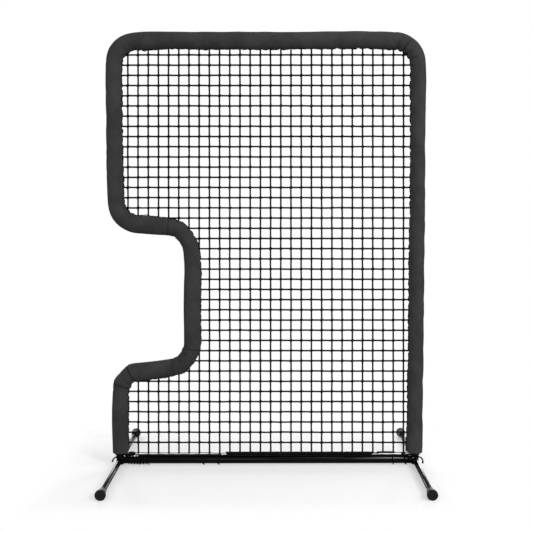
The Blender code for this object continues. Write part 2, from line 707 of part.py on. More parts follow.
def reach_to_outline(point, direction, outline):
    """Distance from a point to the closed line in a direction, for a cord of the net's width."""
    side = Vector((direction.y, -direction.x)) * NET_CORD / 2
    least = math.inf
    for start in (point - side, point, point + side):
        for a, b in zip(outline, outline[1:] + outline[:1]):
            edge = b - a
            cross = direction.x * edge.y - direction.y * edge.x
            if abs(cross) < 1e-12:
                continue
            gap = a - start
            along = (gap.x * edge.y - gap.y * edge.x) / cross
            share = (gap.x * direction.y - gap.y * direction.x) / cross
            if along > 0.0 and 0.0 <= share <= 1.0:
                least = min(least, along)
    return least


def net_crossings(outline):
    """Places of the net's knots by (column, row), tapering a little to the top."""
    top_z = BOTTOM_ROPE_Z + NET_ROW_PITCH * NET_ROWS
    places = {}
    for row in range(1, NET_ROWS + 1):
        z = BOTTOM_ROPE_Z + NET_ROW_PITCH * row
        share = (z - BOTTOM_ROPE_Z) / (top_z - BOTTOM_ROPE_Z)
        pitch = NET_PITCH_BOTTOM + (NET_PITCH_TOP - NET_PITCH_BOTTOM) * share
        for column in range(NET_COLUMNS):
            point = Vector((NET_MIDDLE_X + (column + NET_FIRST_COLUMN) * pitch, z))
            ways = [Vector(way) for way in ((1, 0), (-1, 0), (0, 1), (0, -1))]
            clear = min(reach_to_outline(point, way, outline) for way in ways)
            if inside(point, outline) and clear > NET_CORD:
                places[column, row] = point
    return places


def build_net(path, twine, parent):
    """The net: square knots joined by cords, with cord ends at the border rope."""
    outline = net_outline(path)
    places = net_crossings(outline)
    half = NET_CORD / 2
    corners = ((-half, -half), (half, -half), (half, half), (-half, half))
    ways = {(0, -1): (0, 1), (1, 0): (1, 2), (0, 1): (2, 3), (-1, 0): (3, 0)}
    bm = bmesh.new()
    knots = {}
    for key, point in places.items():
        knots[key] = []
        for y in (-half, half):
            layer = [bm.verts.new((point.x + dx, y, point.y + dz)) for dx, dz in corners]
            knots[key].append(layer)
            bm.faces.new(layer)
    for (column, row), layers in knots.items():
        point = places[column, row]
        for (dc, dr), (first, second) in ways.items():
            neighbour = (column + dc, row + dr)
            reach = reach_to_outline(point, Vector((dc, dr)), outline)
            joined = neighbour in places and (places[neighbour] - point).length < reach
            near = (layers[0][first], layers[0][second], layers[1][second], layers[1][first])
            if joined and (dc, dr) in ((-1, 0), (0, -1)):
                continue
            if joined:
                back_first, back_second = ways[-dc, -dr]
                front, back = knots[neighbour]
                far = (front[back_second], front[back_first], back[back_first], back[back_second])
            else:
                step = Vector((dc, 0.0, dr)) * (reach - half)
                far = tuple(bm.verts.new(v.co + step) for v in near)
                bm.faces.new(far)
            for k in range(4):
                n = (k + 1) % 4
                bm.faces.new((near[k], near[n], far[n], far[k]))
    return add_object("net_panel", mesh_from(bm, "net_panel"), twine, parent)


def build_ropes(path, looks, parent):
    """Border, bottom and lacing ropes with their free tails."""
    start = path.run(0, z=BOTTOM_ROPE_Z - BORDER_ROPE / 2)
    end = path.run(6, z=BOTTOM_ROPE_Z - BORDER_ROPE / 2)
    border = []
    for s in [start] + path.corners_between(start, end) + [end]:
        point, across = path.place(s)
        border.append(Vector((point.x + across.x * BORDER_OFFSET, 0.0, point.y + across.y * BORDER_OFFSET)))
    rope("net_border_rope", border, BORDER_ROPE, looks["rope"], parent)
    line = bottom_rope_line()
    points = [Vector((x, 0.0, z)) for x, z, swell in line]
    rope("net_bottom_rope", points, BOTTOM_ROPE, looks["rope"], parent, [swell for x, z, swell in line])
    lacing = lacing_route()
    print("least gap of the lacing rope to itself: %.2f mm"
          % (least_gap(lacing, LACING_ROPE, TURN_POINTS // 2) * 1000))
    rope("rail_lacing_rope", lacing, LACING_ROPE, looks["rope"], parent)
    for side, name in ((-1, "left_cord_tail"), (1, "right_cord_tail")):
        rope(name, tail_route(side), LACING_ROPE, looks["rope"], parent, rounding=2)


def tail_route(side):
    """A free lacing end, from the front of the hub out past the pad and down towards the floor."""
    steps = LEFT_TAIL if side < 0 else RIGHT_TAIL
    start = hub_crossing(side)[0] + Vector((side * PIECE_GAP, 0.0, 0.0))
    points = [start + Vector((side * outward, back, rise)) for outward, back, rise in steps]
    return smooth_route(points, LACING_ROPE * 0.8)


def build():
    """Builds the whole screen."""
    clear_scene()
    looks = finishes()
    screen = bpy.data.objects.new("screen", None)
    bpy.context.scene.collection.objects.link(screen)
    path = frame_path()
    joints = [path.run(0, z=ELBOW_JOINT_Z), path.run(2, z=NOTCH_JOINT_Z), path.run(4, z=SHOULDER_JOINT_Z),
              path.run(5, x=TOP_JOINT_X), path.run(6, z=RIGHT_JOINT_Z)]
    tubes = build_tubes(path, joints, looks["steel"], screen)
    foams = build_foams(path, joints, looks["foam"], screen)
    rail = build_rail(looks["steel"], screen)
    hubs = []
    for side, word in ((-1, "left"), (1, "right")):
        hubs.append(build_hub(side, word + "_base_hub", looks["steel"], screen))
        build_leg(side, word + "_leg_tube", looks["steel"], screen)
        for end, place in ((-1, "front"), (1, "rear")):
            build_foot(side, end, word + "_" + place + "_foot", looks["rubber"], screen)
    seat_foams = [foams[0], foams[2], foams[3], foams[4], foams[5]]
    for index, name in enumerate(("elbow", "notch", "shoulder", "top", "right_side")):
        s = joints[index] + SWAGE_LENGTH - BUTTON_FROM_END
        point, across = path.place(s)
        heading = path.step(path.chord(s))
        build_button(name, Vector((point.x, 0.0, point.y)), -Vector((heading.x, 0.0, heading.y)),
                     (tubes[index], tubes[index + 1]), seat_foams[index], looks, screen)
    for side, word, hub, tube, foam in ((-1, "left", hubs[0], tubes[0], foams[0]),
                                        (1, "right", hubs[1], tubes[5], foams[5])):
        high = HUB_TOP_Z + SWAGE_LENGTH - BUTTON_FROM_END
        build_button(word + "_base", Vector((side * UPRIGHT_X, 0.0, high)), Vector((0.0, 0.0, -1.0)),
                     (hub, tube), foam, looks, screen)
        along = side * (UPRIGHT_X - TUBE_RADIUS - SWAGE_LENGTH + BUTTON_FROM_END)
        build_button(word + "_rail", Vector((along, 0.0, RAIL_Z)), Vector((side, 0.0, 0.0)),
                     (hub, rail), None, looks, screen)
    build_covers(path, looks["fabric"], screen)
    build_net(path, looks["net"], screen)
    build_ropes(path, looks, screen)


build()
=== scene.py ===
"""Dresses the padded practice screen: sewn covers on foam, a knotted net, ropes and a painted steel base.

Metres, +Z up. X runs along the screen, the thrower's side is -Y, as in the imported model.
"""

import json
import logging
import math
from dataclasses import dataclass
from enum import Enum
from typing import Callable, Mapping, Optional, Sequence, Union

import bpy
import numpy as np
from mathutils import Matrix, Vector
from mathutils.bvhtree import BVHTree

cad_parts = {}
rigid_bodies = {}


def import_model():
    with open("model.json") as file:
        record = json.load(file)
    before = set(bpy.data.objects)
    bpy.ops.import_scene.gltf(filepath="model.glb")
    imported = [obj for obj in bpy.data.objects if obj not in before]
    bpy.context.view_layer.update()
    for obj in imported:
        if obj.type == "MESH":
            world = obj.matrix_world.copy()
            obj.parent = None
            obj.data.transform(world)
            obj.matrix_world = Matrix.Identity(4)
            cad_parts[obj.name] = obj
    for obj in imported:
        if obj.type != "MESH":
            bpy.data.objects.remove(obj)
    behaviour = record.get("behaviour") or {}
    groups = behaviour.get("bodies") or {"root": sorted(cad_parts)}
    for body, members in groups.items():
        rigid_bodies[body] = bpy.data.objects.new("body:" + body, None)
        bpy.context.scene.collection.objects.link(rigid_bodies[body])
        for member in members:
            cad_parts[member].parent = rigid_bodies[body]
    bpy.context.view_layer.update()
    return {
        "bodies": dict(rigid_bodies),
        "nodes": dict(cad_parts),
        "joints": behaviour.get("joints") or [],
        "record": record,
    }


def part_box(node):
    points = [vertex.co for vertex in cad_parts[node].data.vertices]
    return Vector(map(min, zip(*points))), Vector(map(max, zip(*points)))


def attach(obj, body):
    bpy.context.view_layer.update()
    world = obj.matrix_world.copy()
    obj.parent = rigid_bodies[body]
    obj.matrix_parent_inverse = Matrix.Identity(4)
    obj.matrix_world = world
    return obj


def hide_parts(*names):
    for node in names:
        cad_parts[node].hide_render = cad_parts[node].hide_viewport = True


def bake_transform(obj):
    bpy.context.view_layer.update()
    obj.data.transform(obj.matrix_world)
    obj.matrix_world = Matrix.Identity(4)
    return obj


Array = np.ndarray
Floats = Sequence[float]
Piece = bpy.types.Object
LOG = logging.getLogger("screen")
MAIN_BODY = "screen"
CLOTH_UV = "cloth"
LAY_UV = "lay"
# point attribute of painted shade along the seams and in the gathers' folds
SEAM_AND_FOLD_SHADE = "seam_mark"
# point attribute: dark specks on the covers near the laced edges, and the feet paler behind their faces
TONE_MARK = "edge_mark"
X, Y, Z = range(3)
MILLIMETRE = 0.001
TURN_TO_X = (0.0, math.pi / 2, 0.0)
TURN_TO_Y = (math.pi / 2, 0.0, 0.0)
UPRIGHT = (0.0, 0.0, 0.0)
SQUARE_FACING = 0.9
WELD_DISTANCE = 1e-6
SHARP_EDGE = math.radians(40)


class Slot(Enum):
    """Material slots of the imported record."""

    STEEL = "frame_steel"
    RUBBER = "foot_rubber"
    ZINC = "button_zinc"
    SPRING = "spring_steel"
    FOAM = "pad_foam"
    COVER = "pad_cover"
    TWINE = "net_twine"
    ROPE = "lacing_rope"


class Side(Enum):
    """The two ends of the screen, by the sign of X."""

    LEFT = -1
    RIGHT = 1

    @property
    def word(self) -> str:
        """The side's word in the names of nodes and pieces."""
        return self.name.lower()


class End(Enum):
    """The two ends of a leg, by the sign of Y."""

    FRONT = -1
    REAR = 1


def middle(node: str, axis: int) -> float:
    """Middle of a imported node's box along an axis."""
    low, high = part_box(node)
    return (low[axis] + high[axis]) / 2


def span(node: str, axis: int) -> float:
    """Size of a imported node's box along an axis."""
    low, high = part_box(node)
    return high[axis] - low[axis]


def placed(name: str, data: bpy.types.ID) -> Piece:
    """Puts a new object that holds some data into the scene."""
    made = bpy.data.objects.new(name, data)
    bpy.context.scene.collection.objects.link(made)
    return made


class Signal:
    """A node's output that takes part in arithmetic: each operation adds its Math node."""

    def __init__(self, nodes: "NodeTree", socket: bpy.types.NodeSocket) -> None:
        """Keeps the socket and the tree that it belongs to."""
        self.nodes = nodes
        self.socket = socket

    def __add__(self, other: "Value") -> "Signal":
        """Sum."""
        return self.nodes.math("ADD", self, other)

    __radd__ = __add__

    def __sub__(self, other: "Value") -> "Signal":
        """Difference."""
        return self.nodes.math("SUBTRACT", self, other)

    def __rsub__(self, other: "Value") -> "Signal":
        """Difference with this signal taken away."""
        return self.nodes.math("SUBTRACT", other, self)

    def __mul__(self, other: "Value") -> "Signal":
        """Product."""
        return self.nodes.math("MULTIPLY", self, other)

    __rmul__ = __mul__

    def wave(self) -> "Signal":
        """Sine of the signal in whole turns, brought to the range 0 to 1."""
        return self.nodes.math("SINE", self * math.tau) * 0.5 + 0.5

    def stretched(self, low: float, high: float) -> "Signal":
        """The range low to high brought smoothly to 0 to 1 and clamped."""
        return self.nodes.node("ShaderNodeMapRange", {"interpolation_type": "SMOOTHSTEP"},
                               {"Value": self, "From Min": low, "From Max": high})


Value = Union[float, Floats, Signal]


class NodeTree:
    """A node tree with the one method that adds its nodes."""

    def __init__(self, tree: bpy.types.NodeTree) -> None:
        """Keeps the tree."""
        self.tree = tree

    def feed(self, socket: bpy.types.NodeSocket, value: Value) -> None:
        """Links a signal to a socket, or sets the socket's own value."""
        if isinstance(value, Signal):
            self.tree.links.new(value.socket, socket)
        else:
            socket.default_value = value

    def node(self, kind: str, settings: Optional[Mapping[str, object]] = None,
             inputs: Optional[Mapping[object, Value]] = None, output: object = 0) -> Signal:
        """Adds a node.

        Args:
            kind: the node's type.
            settings: properties that are set before the sockets.
            inputs: values or signals by socket name or number.
            output: name or number of the output that is returned.

        Returns:
            The chosen output.
        """
        made = self.tree.nodes.new(kind)
        for key, value in (settings or {}).items():
            setattr(made, key, value)
        for key, value in (inputs or {}).items():
            self.feed(made.inputs[key], value)
        return Signal(self, made.outputs[output])

    def math(self, operation: str, *values: Value) -> Signal:
        """Adds a Math node on one or two values."""
        return self.node("ShaderNodeMath", {"operation": operation}, dict(enumerate(values)))


class Shader(NodeTree):
    """One material's node tree round its Principled shader."""

    def __init__(self, name: str, constants: Mapping[str, Value]) -> None:
        """Makes the material.

        Args:
            name: the material's name.
            constants: values of the Principled shader's own sockets.
        """
        self.material = bpy.data.materials.new(name)
        self.material.use_nodes = True
        super().__init__(self.material.node_tree)
        self.principled = self.tree.nodes["Principled BSDF"]
        for socket, value in constants.items():
            self.set(socket, value)

    def place(self) -> Signal:
        """Object coordinates, which are metres in the screen's own frame."""
        return self.node("ShaderNodeTexCoord", output="Object")

    def parts(self, vector: Signal, axes: str = "XYZ") -> list[Signal]:
        """Some coordinates of a vector."""
        return [self.node("ShaderNodeSeparateXYZ", None, {0: vector}, axis) for axis in axes]

    def along(self, name: str) -> list[Signal]:
        """The two coordinates of a piece's own UV map."""
        return self.parts(self.node("ShaderNodeUVMap", {"uv_map": name}), "XY")

    def mark(self, name: str) -> Signal:
        """A number that the mesh holds at its points."""
        return self.node("ShaderNodeAttribute", {"attribute_name": name}, output="Fac")

    def noise(self, scale: float, detail: float = 3.0) -> Signal:
        """Smooth noise from 0 to 1; scale is in features per metre."""
        return self.node("ShaderNodeTexNoise", None,
                         {"Vector": self.place(), "Scale": scale, "Detail": detail})

    def blend(self, mask: Value, first: Value, second: Value) -> Signal:
        """A colour between two colours."""
        return self.node("ShaderNodeMix", {"data_type": "RGBA"}, {0: mask, 6: first, 7: second}, 2)

    def bump(self, height: Signal, distance: float, strength: float, **below: Signal) -> Signal:
        """A bumped normal, on top of another that is given as Normal."""
        inputs = {"Height": height, "Distance": distance, "Strength": strength, **below}
        return self.node("ShaderNodeBump", None, inputs)

    def set(self, socket: str, value: Value) -> None:
        """Feeds one socket of the Principled shader."""
        self.feed(self.principled.inputs[socket], value)

    def finished(self, colour: Signal, roughness: Signal, normal: Signal) -> bpy.types.Material:
        """Feeds the sockets that every finish varies and returns the material."""
        for socket, value in (("Base Color", colour), ("Roughness", roughness), ("Normal", normal)):
            self.set(socket, value)
        return self.material


def grey(level: float, warmth: float = 0.0) -> tuple[float, float, float, float]:
    """A linear grey, a little warm where asked, as a colour with alpha."""
    return (level * (1.0 + warmth), level, level * (1.0 - warmth), 1.0)


@dataclass(frozen=True)
class CoverFabric:
    """Charcoal coated polyester: fine rib, faint mottle, painted shade along the seams and in the gathers'
    folds, and specks along the laced edges.
    """

    dark: float = 0.034
    light: float = 0.046
    # colour of the painted shade along the seams and in the gathers' folds
    seam: float = 0.011
    specks: float = 0.008
    rib: float = 0.0014
    rib_height: float = 0.00012
    crumple_height: float = 0.0012

    def build(self) -> bpy.types.Material:
        """Makes the material.

        Returns:
            The material.
        """
        shader = Shader("cover_fabric", {"Specular IOR Level": 0.035})
        across, along = shader.along(CLOTH_UV)
        rib = (across * (1.0 / self.rib)).wave() * 0.6 + (along * (1.0 / self.rib)).wave() * 0.4
        mottle = shader.noise(11.0, 5.0).stretched(0.32, 0.7)
        fine = shader.noise(160.0, 4.0)
        base = shader.blend(mottle, grey(self.dark), grey(self.light, 0.012))
        # dark specks in a band along the laced edges
        specks = shader.noise(90.0, 2.0).stretched(0.56, 0.66) * shader.mark(TONE_MARK)
        # the cloth's colour with the dark specks near the laced edges
        dusty = shader.blend(specks * 0.8, base, grey(self.specks))
        # painted shade: the seams and the gathers' folds darkened in the cloth's colour
        sewn = shader.blend(shader.mark(SEAM_AND_FOLD_SHADE), dusty, grey(self.seam))
        soft = shader.bump(shader.noise(26.0, 5.0), self.crumple_height, 0.5)
        woven = shader.bump(rib, self.rib_height, 0.35, Normal=soft)
        return shader.finished(sewn, 0.66 + fine * 0.2, woven)


@dataclass(frozen=True)
class SleeveFoam:
    """Closed-cell foam, grey, with fine open pores on its cut faces."""

    dark: float = 0.02
    light: float = 0.045

    def build(self) -> bpy.types.Material:
        """Makes the material.

        Returns:
            The material.
        """
        shader = Shader("sleeve_foam", {"Specular IOR Level": 0.15})
        cells = shader.node("ShaderNodeTexVoronoi", {"feature": "F1"},
                            {"Vector": shader.place(), "Scale": 620.0})
        pores = cells.stretched(0.1, 0.7)
        return shader.finished(shader.blend(pores, grey(self.dark), grey(self.light)),
                               0.82 + shader.noise(60.0) * 0.15, shader.bump(pores, 0.0004, 0.5))


@dataclass(frozen=True)
class PowderCoat:
    """Gloss black powder coat on steel: orange peel, dust film and dull rubbed patches."""

    base: float = 0.0012
    dusty: float = 0.0032
    gloss: float = 0.15
    rubbed: float = 0.28
    shine: float = 0.06
    coat_ior: float = 2.8
    coat_roughness: float = 0.1
    polished_x: tuple[float, float] = (0.35, 0.67)
    polished_front: tuple[float, float] = (0.004, 0.008)
    polished_z: tuple[float, float] = (0.039, 0.0452)
    fade: float = 0.0012

    def build(self) -> bpy.types.Material:
        """Makes the material.

        Returns:
            The material.
        """
        shader = Shader("powder_coat", {"Specular IOR Level": self.shine, "Coat IOR": self.coat_ior,
                                        "Coat Roughness": self.coat_roughness})
        low, high = self.polished_z
        x, y, z = shader.parts(shader.place())
        along = x.stretched(*self.polished_x)
        front = (0.0 - y).stretched(*self.polished_front)
        polished = along * along * front * z.stretched(low, low + self.fade)
        shader.set("Coat Weight", polished * (1.0 - z.stretched(high - self.fade, high)))
        patches = shader.noise(9.0, 5.0).stretched(0.45, 0.75)
        scuffs = shader.noise(75.0, 6.0).stretched(0.6, 0.72)
        colour = shader.blend(patches * 0.7 + scuffs * 0.3, grey(self.base), grey(self.dusty, 0.01))
        worn = patches * 0.45 + scuffs * 0.35
        return shader.finished(colour, self.gloss + worn * (self.rubbed - self.gloss),
                               shader.bump(shader.noise(420.0, 2.0), 0.00006, 0.4))


@dataclass(frozen=True)
class FootRubber:
    """Moulded black rubber, paler in random patches and on its body behind the face, with fine grain."""

    base: float = 0.0055
    bloom: float = 0.075

    def build(self) -> bpy.types.Material:
        """Makes the material.

        Returns:
            The material.
        """
        shader = Shader("foot_rubber", {"Specular IOR Level": 0.12})
        bloom = shader.noise(48.0, 5.0).stretched(0.35, 0.8)
        # a little paler in random patches, and much paler on the body behind the face
        dust = bloom * 0.1 + shader.mark(TONE_MARK) * 0.75
        return shader.finished(shader.blend(dust, grey(self.base), grey(self.bloom, 0.01)),
                               0.52 + bloom * 0.25, shader.bump(shader.noise(900.0, 2.0), 0.00012, 0.5))


@dataclass(frozen=True)
class Cordage:
    """Black polyester cord: twisted strands or a braid, dull with paler rubbed yarns."""

    name: str
    strands: float
    lay: float
    relief: float
    braided: bool = False
    base: float = 0.0035
    rubbed: float = 0.012

    def build(self) -> bpy.types.Material:
        """Makes the material.

        Returns:
            The material.
        """
        shader = Shader(self.name, {"Specular IOR Level": 0.05})
        turn, along = shader.along(LAY_UV)
        rise = along * (1.0 / self.lay)
        yarns = (turn * self.strands + rise).wave()
        if self.braided:
            yarns = shader.math("MAXIMUM", yarns, (turn * self.strands - rise).wave())
        fuzz = shader.noise(260.0, 4.0).stretched(0.4, 0.8)
        return shader.finished(shader.blend(yarns * fuzz, grey(self.base), grey(self.rubbed, 0.015)),
                               0.7 + fuzz * 0.2, shader.bump(yarns + fuzz * 0.3, self.relief, 0.7))


@dataclass(frozen=True)
class BrightMetal:
    """Plated or spring steel, lightly tarnished."""

    name: str
    base: float
    roughness: float

    def build(self) -> bpy.types.Material:
        """Makes the material.

        Returns:
            The material.
        """
        shader = Shader(self.name, {"Metallic": 0.95})
        tarnish = shader.noise(260.0, 5.0).stretched(0.35, 0.75)
        colour = shader.blend(tarnish, grey(self.base, 0.02), grey(self.base * 0.62, 0.05))
        return shader.finished(colour, self.roughness + tarnish * 0.18,
                               shader.bump(shader.noise(1500.0, 2.0), 0.00004, 0.4))


class FinishShelf:
    """The finishes by slot, each made once."""

    def __init__(self) -> None:
        """Makes every finish."""
        self.by_slot = {
            Slot.STEEL: PowderCoat().build(),
            Slot.RUBBER: FootRubber().build(),
            Slot.ZINC: BrightMetal("button_zinc", 0.55, 0.26).build(),
            Slot.SPRING: BrightMetal("spring_steel", 0.33, 0.3).build(),
            Slot.FOAM: SleeveFoam().build(),
            Slot.COVER: CoverFabric().build(),
            Slot.TWINE: Cordage("net_twine", 3.0, 0.0055, 0.0004).build(),
            Slot.ROPE: Cordage("lacing_rope", 4.0, 0.0065, 0.0005, braided=True).build(),
        }

    def dress(self, piece: Piece, slot: Slot) -> None:
        """Gives a piece the finish of a slot."""
        piece.data.materials.clear()
        piece.data.materials.append(self.by_slot[slot])

    def fit(self, piece: Piece, slot: Slot, *nodes: str) -> None:
        """Dresses a piece that rides on the screen.

        Args:
            piece: the finished piece.
            slot: the slot of its finish.
            nodes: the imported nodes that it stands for.
        """
        self.dress(piece, slot)
        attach(piece, MAIN_BODY)
        if nodes:
            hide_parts(*nodes)
        LOG.info("%s: %d faces", piece.name, len(piece.data.polygons))


class FrameLine:
    """The padded frame's centreline in the XZ plane, from the left base round to the right base.

    Straight runs are joined by true arcs, and the net lies to the right of the line all the way.
    """

    ARC_STEPS = 48
    CHORDS = 4

    def __init__(self, corners: Sequence[tuple[float, float, float]]) -> None:
        """Lays the line out.

        Args:
            corners: (x, z, bend radius) of each corner, with radius 0 at both ends.
        """
        places = [np.array(corner[:2]) for corner in corners]
        points, normals = [], []
        self.bend_points: list[tuple[int, int]] = []
        for index, (x, z, radius) in enumerate(corners):
            if radius == 0.0:
                other = places[1] if index == 0 else places[-2]
                heading = (other - places[index]) if index == 0 else (places[index] - other)
                points.append(places[index])
                normals.append(self.right_of(heading))
                continue
            before = self.unit(places[index] - places[index - 1])
            after = self.unit(places[index + 1] - places[index])
            turn = math.atan2(before[0] * after[1] - before[1] * after[0], float(before @ after))
            reach = radius * math.tan(abs(turn) / 2)
            start = places[index] - before * reach
            centre = start - self.right_of(before) * math.copysign(radius, turn)
            self.bend_points.append((len(points), len(points) + self.ARC_STEPS))
            for step in range(self.ARC_STEPS + 1):
                angle = turn * step / self.ARC_STEPS
                normal = self.turned(self.right_of(before), angle)
                points.append(centre + normal * math.copysign(radius, turn))
                normals.append(normal)
        self.points = np.array(points)
        self.normals = np.array(normals)
        steps = np.linalg.norm(np.diff(self.points, axis=0), axis=1)
        self.lengths = np.concatenate([[0.0], np.cumsum(steps)])

    @staticmethod
    def unit(vector: Array) -> Array:
        """The vector at length one."""
        return vector / np.linalg.norm(vector)

    @staticmethod
    def right_of(heading: Array) -> Array:
        """Unit vector to the right of a heading."""
        return FrameLine.unit(np.array([heading[1], -heading[0]]))

    @staticmethod
    def turned(vector: Array, angle: float) -> Array:
        """The vector turned anticlockwise."""
        c, s = math.cos(angle), math.sin(angle)
        return np.array([c * vector[0] - s * vector[1], s * vector[0] + c * vector[1]])

    def bend(self, index: int, share: float) -> float:
        """Distance along the line of a place in a bend; share runs from 0 to 1 through it."""
        first, last = self.bend_points[index]
        return self.lengths[first] + share * (self.lengths[last] - self.lengths[first])

    def chord_corner(self, index: int, step: int) -> float:
        """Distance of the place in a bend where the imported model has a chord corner."""
        return self.bend(index, (step + 0.5) / self.CHORDS)

    def run(self, index: int, x: Optional[float] = None, z: Optional[float] = None) -> float:
        """Distance along the line of the place on a straight run that has this x or z.

        Args:
            index: the run, counted from the left base.
            x: the place's x, where z is not given.
            z: the place's z.

        Returns:
            The distance.
        """
        first = 0 if index == 0 else self.bend_points[index - 1][1]
        a, b = self.points[first], self.points[first + 1]
        share = (x - a[0]) / (b[0] - a[0]) if z is None else (z - a[1]) / (b[1] - a[1])
        return self.lengths[first] + share * (self.lengths[first + 1] - self.lengths[first])

    def at(self, s: Array) -> tuple[Array, Array]:
        """Points and unit normals at distances along the line, each with a last axis of (x, z)."""
        point, normal = (np.stack([np.interp(s, self.lengths, table[:, k]) for k in (0, 1)], axis=-1)
                         for table in (self.points, self.normals))
        return point, normal / np.linalg.norm(normal, axis=-1, keepdims=True)

    def shell(self, s: Array, radius: Array, angle: Array) -> Array:
        """Places round the line.

        Args:
            s: distances along the line.
            radius: distances from the line.
            angle: turns in radians from the net's side towards the back.

        Returns:
            The places, with a last axis of (x, y, z).
        """
        point, normal = self.at(s)
        out = radius * np.cos(angle)
        return np.stack([point[..., 0] + normal[..., 0] * out, radius * np.sin(angle),
                         point[..., 1] + normal[..., 1] * out], axis=-1)

    def offset_loop(self, reach: float, floor_z: float, spacing: float = 0.004) -> Array:
        """A closed outline on the net's side of the line, cut off level at floor_z.

        Args:
            reach: distance from the line.
            floor_z: height of the cut.
            spacing: step along the line.

        Returns:
            The outline's points as rows of (x, z).
        """
        s = np.arange(self.lengths[0], self.lengths[-1], spacing)
        point, normal = self.at(s)
        loop = point + normal * reach
        loop = loop[loop[:, 1] > floor_z]
        ends = np.array([[loop[-1, 0], floor_z], [loop[0, 0], floor_z]])
        return np.concatenate([loop, ends])


class MeshDraft:
    """Vertices, faces and UVs gathered before one mesh is made of them."""

    def __init__(self) -> None:
        """Starts empty."""
        self.vertices: list[Array] = []
        self.faces: list[list[int]] = []
        self.uvs: list[tuple[float, float]] = []
        self.count = 0

    def grid(self, places: Array, uv: Array, ring: bool = False) -> int:
        """Adds a net of quads.

        Args:
            places: rows of columns of (x, y, z).
            uv: rows of columns of (u, v), one column longer than places where ring is true.
            ring: True where the last column meets the first.

        Returns:
            The index of the first vertex.
        """
        rows, columns = places.shape[:2]
        base = self.count
        self.vertices.append(places.reshape(-1, 3))
        self.count += rows * columns
        for i in range(rows - 1):
            for k in range(columns if ring else columns - 1):
                n = (k + 1) % columns
                self.faces.append([base + i * columns + k, base + i * columns + n,
                                   base + (i + 1) * columns + n, base + (i + 1) * columns + k])
                for row, column in ((i, k), (i, k + 1), (i + 1, k + 1), (i + 1, k)):
                    self.uvs.append((float(uv[row, column, 0]), float(uv[row, column, 1])))
        return base

    def tube(self, path: Array, radius: Union[float, Array], sides: int,
             capped: bool = True) -> None:
        """Adds a round tube along a path, with u round it from 0 to 1 and v along it in metres.

        Args:
            path: the points of its middle line.
            radius: its radius, or one for each point.
            sides: faces round it.
            capped: whether its ends are closed.
        """
        points = np.asarray(path, float)
        radii = np.broadcast_to(np.asarray(radius, float), (len(points),))
        ahead = np.gradient(points, axis=0)
        ahead /= np.linalg.norm(ahead, axis=1, keepdims=True)
        helper = np.eye(3)[np.argmin(np.abs(ahead[0]))]
        across = np.cross(ahead[0], helper)
        angles = np.arange(sides) * math.tau / sides
        rings = []
        for point, way, size in zip(points, ahead, radii):
            across = across - way * (across @ way)
            across = across / np.linalg.norm(across)
            other = np.cross(way, across)
            rings.append(point + size * (np.outer(np.cos(angles), across) + np.outer(np.sin(angles), other)))
        lengths = np.concatenate([[0.0], np.cumsum(np.linalg.norm(np.diff(points, axis=0), axis=1))])
        turn, along = np.meshgrid(np.arange(sides + 1) / sides, lengths)
        base = self.grid(np.array(rings), np.stack([turn, along], axis=-1), ring=True)
        if capped:
            last = base + (len(points) - 1) * sides
            self.cap([base + k for k in range(sides)][::-1])
            self.cap([last + k for k in range(sides)])

    def cap(self, corners: Sequence[int]) -> None:
        """Closes a ring of vertices with one face."""
        self.faces.append(list(corners))
        self.uvs.extend([(0.0, 0.0)] * len(corners))

    def build(self, name: str, uv_name: str) -> Piece:
        """Makes the object, smooth and linked to the scene.

        Args:
            name: the piece's name.
            uv_name: its UV map's name.

        Returns:
            The object.
        """
        mesh = bpy.data.meshes.new(name)
        mesh.from_pydata(np.concatenate(self.vertices).tolist(), [], self.faces)
        layer = mesh.uv_layers.new(name=uv_name)
        layer.data.foreach_set("uv", np.array(self.uvs, np.float32).ravel())
        mesh.shade_smooth()
        return placed(name, mesh)


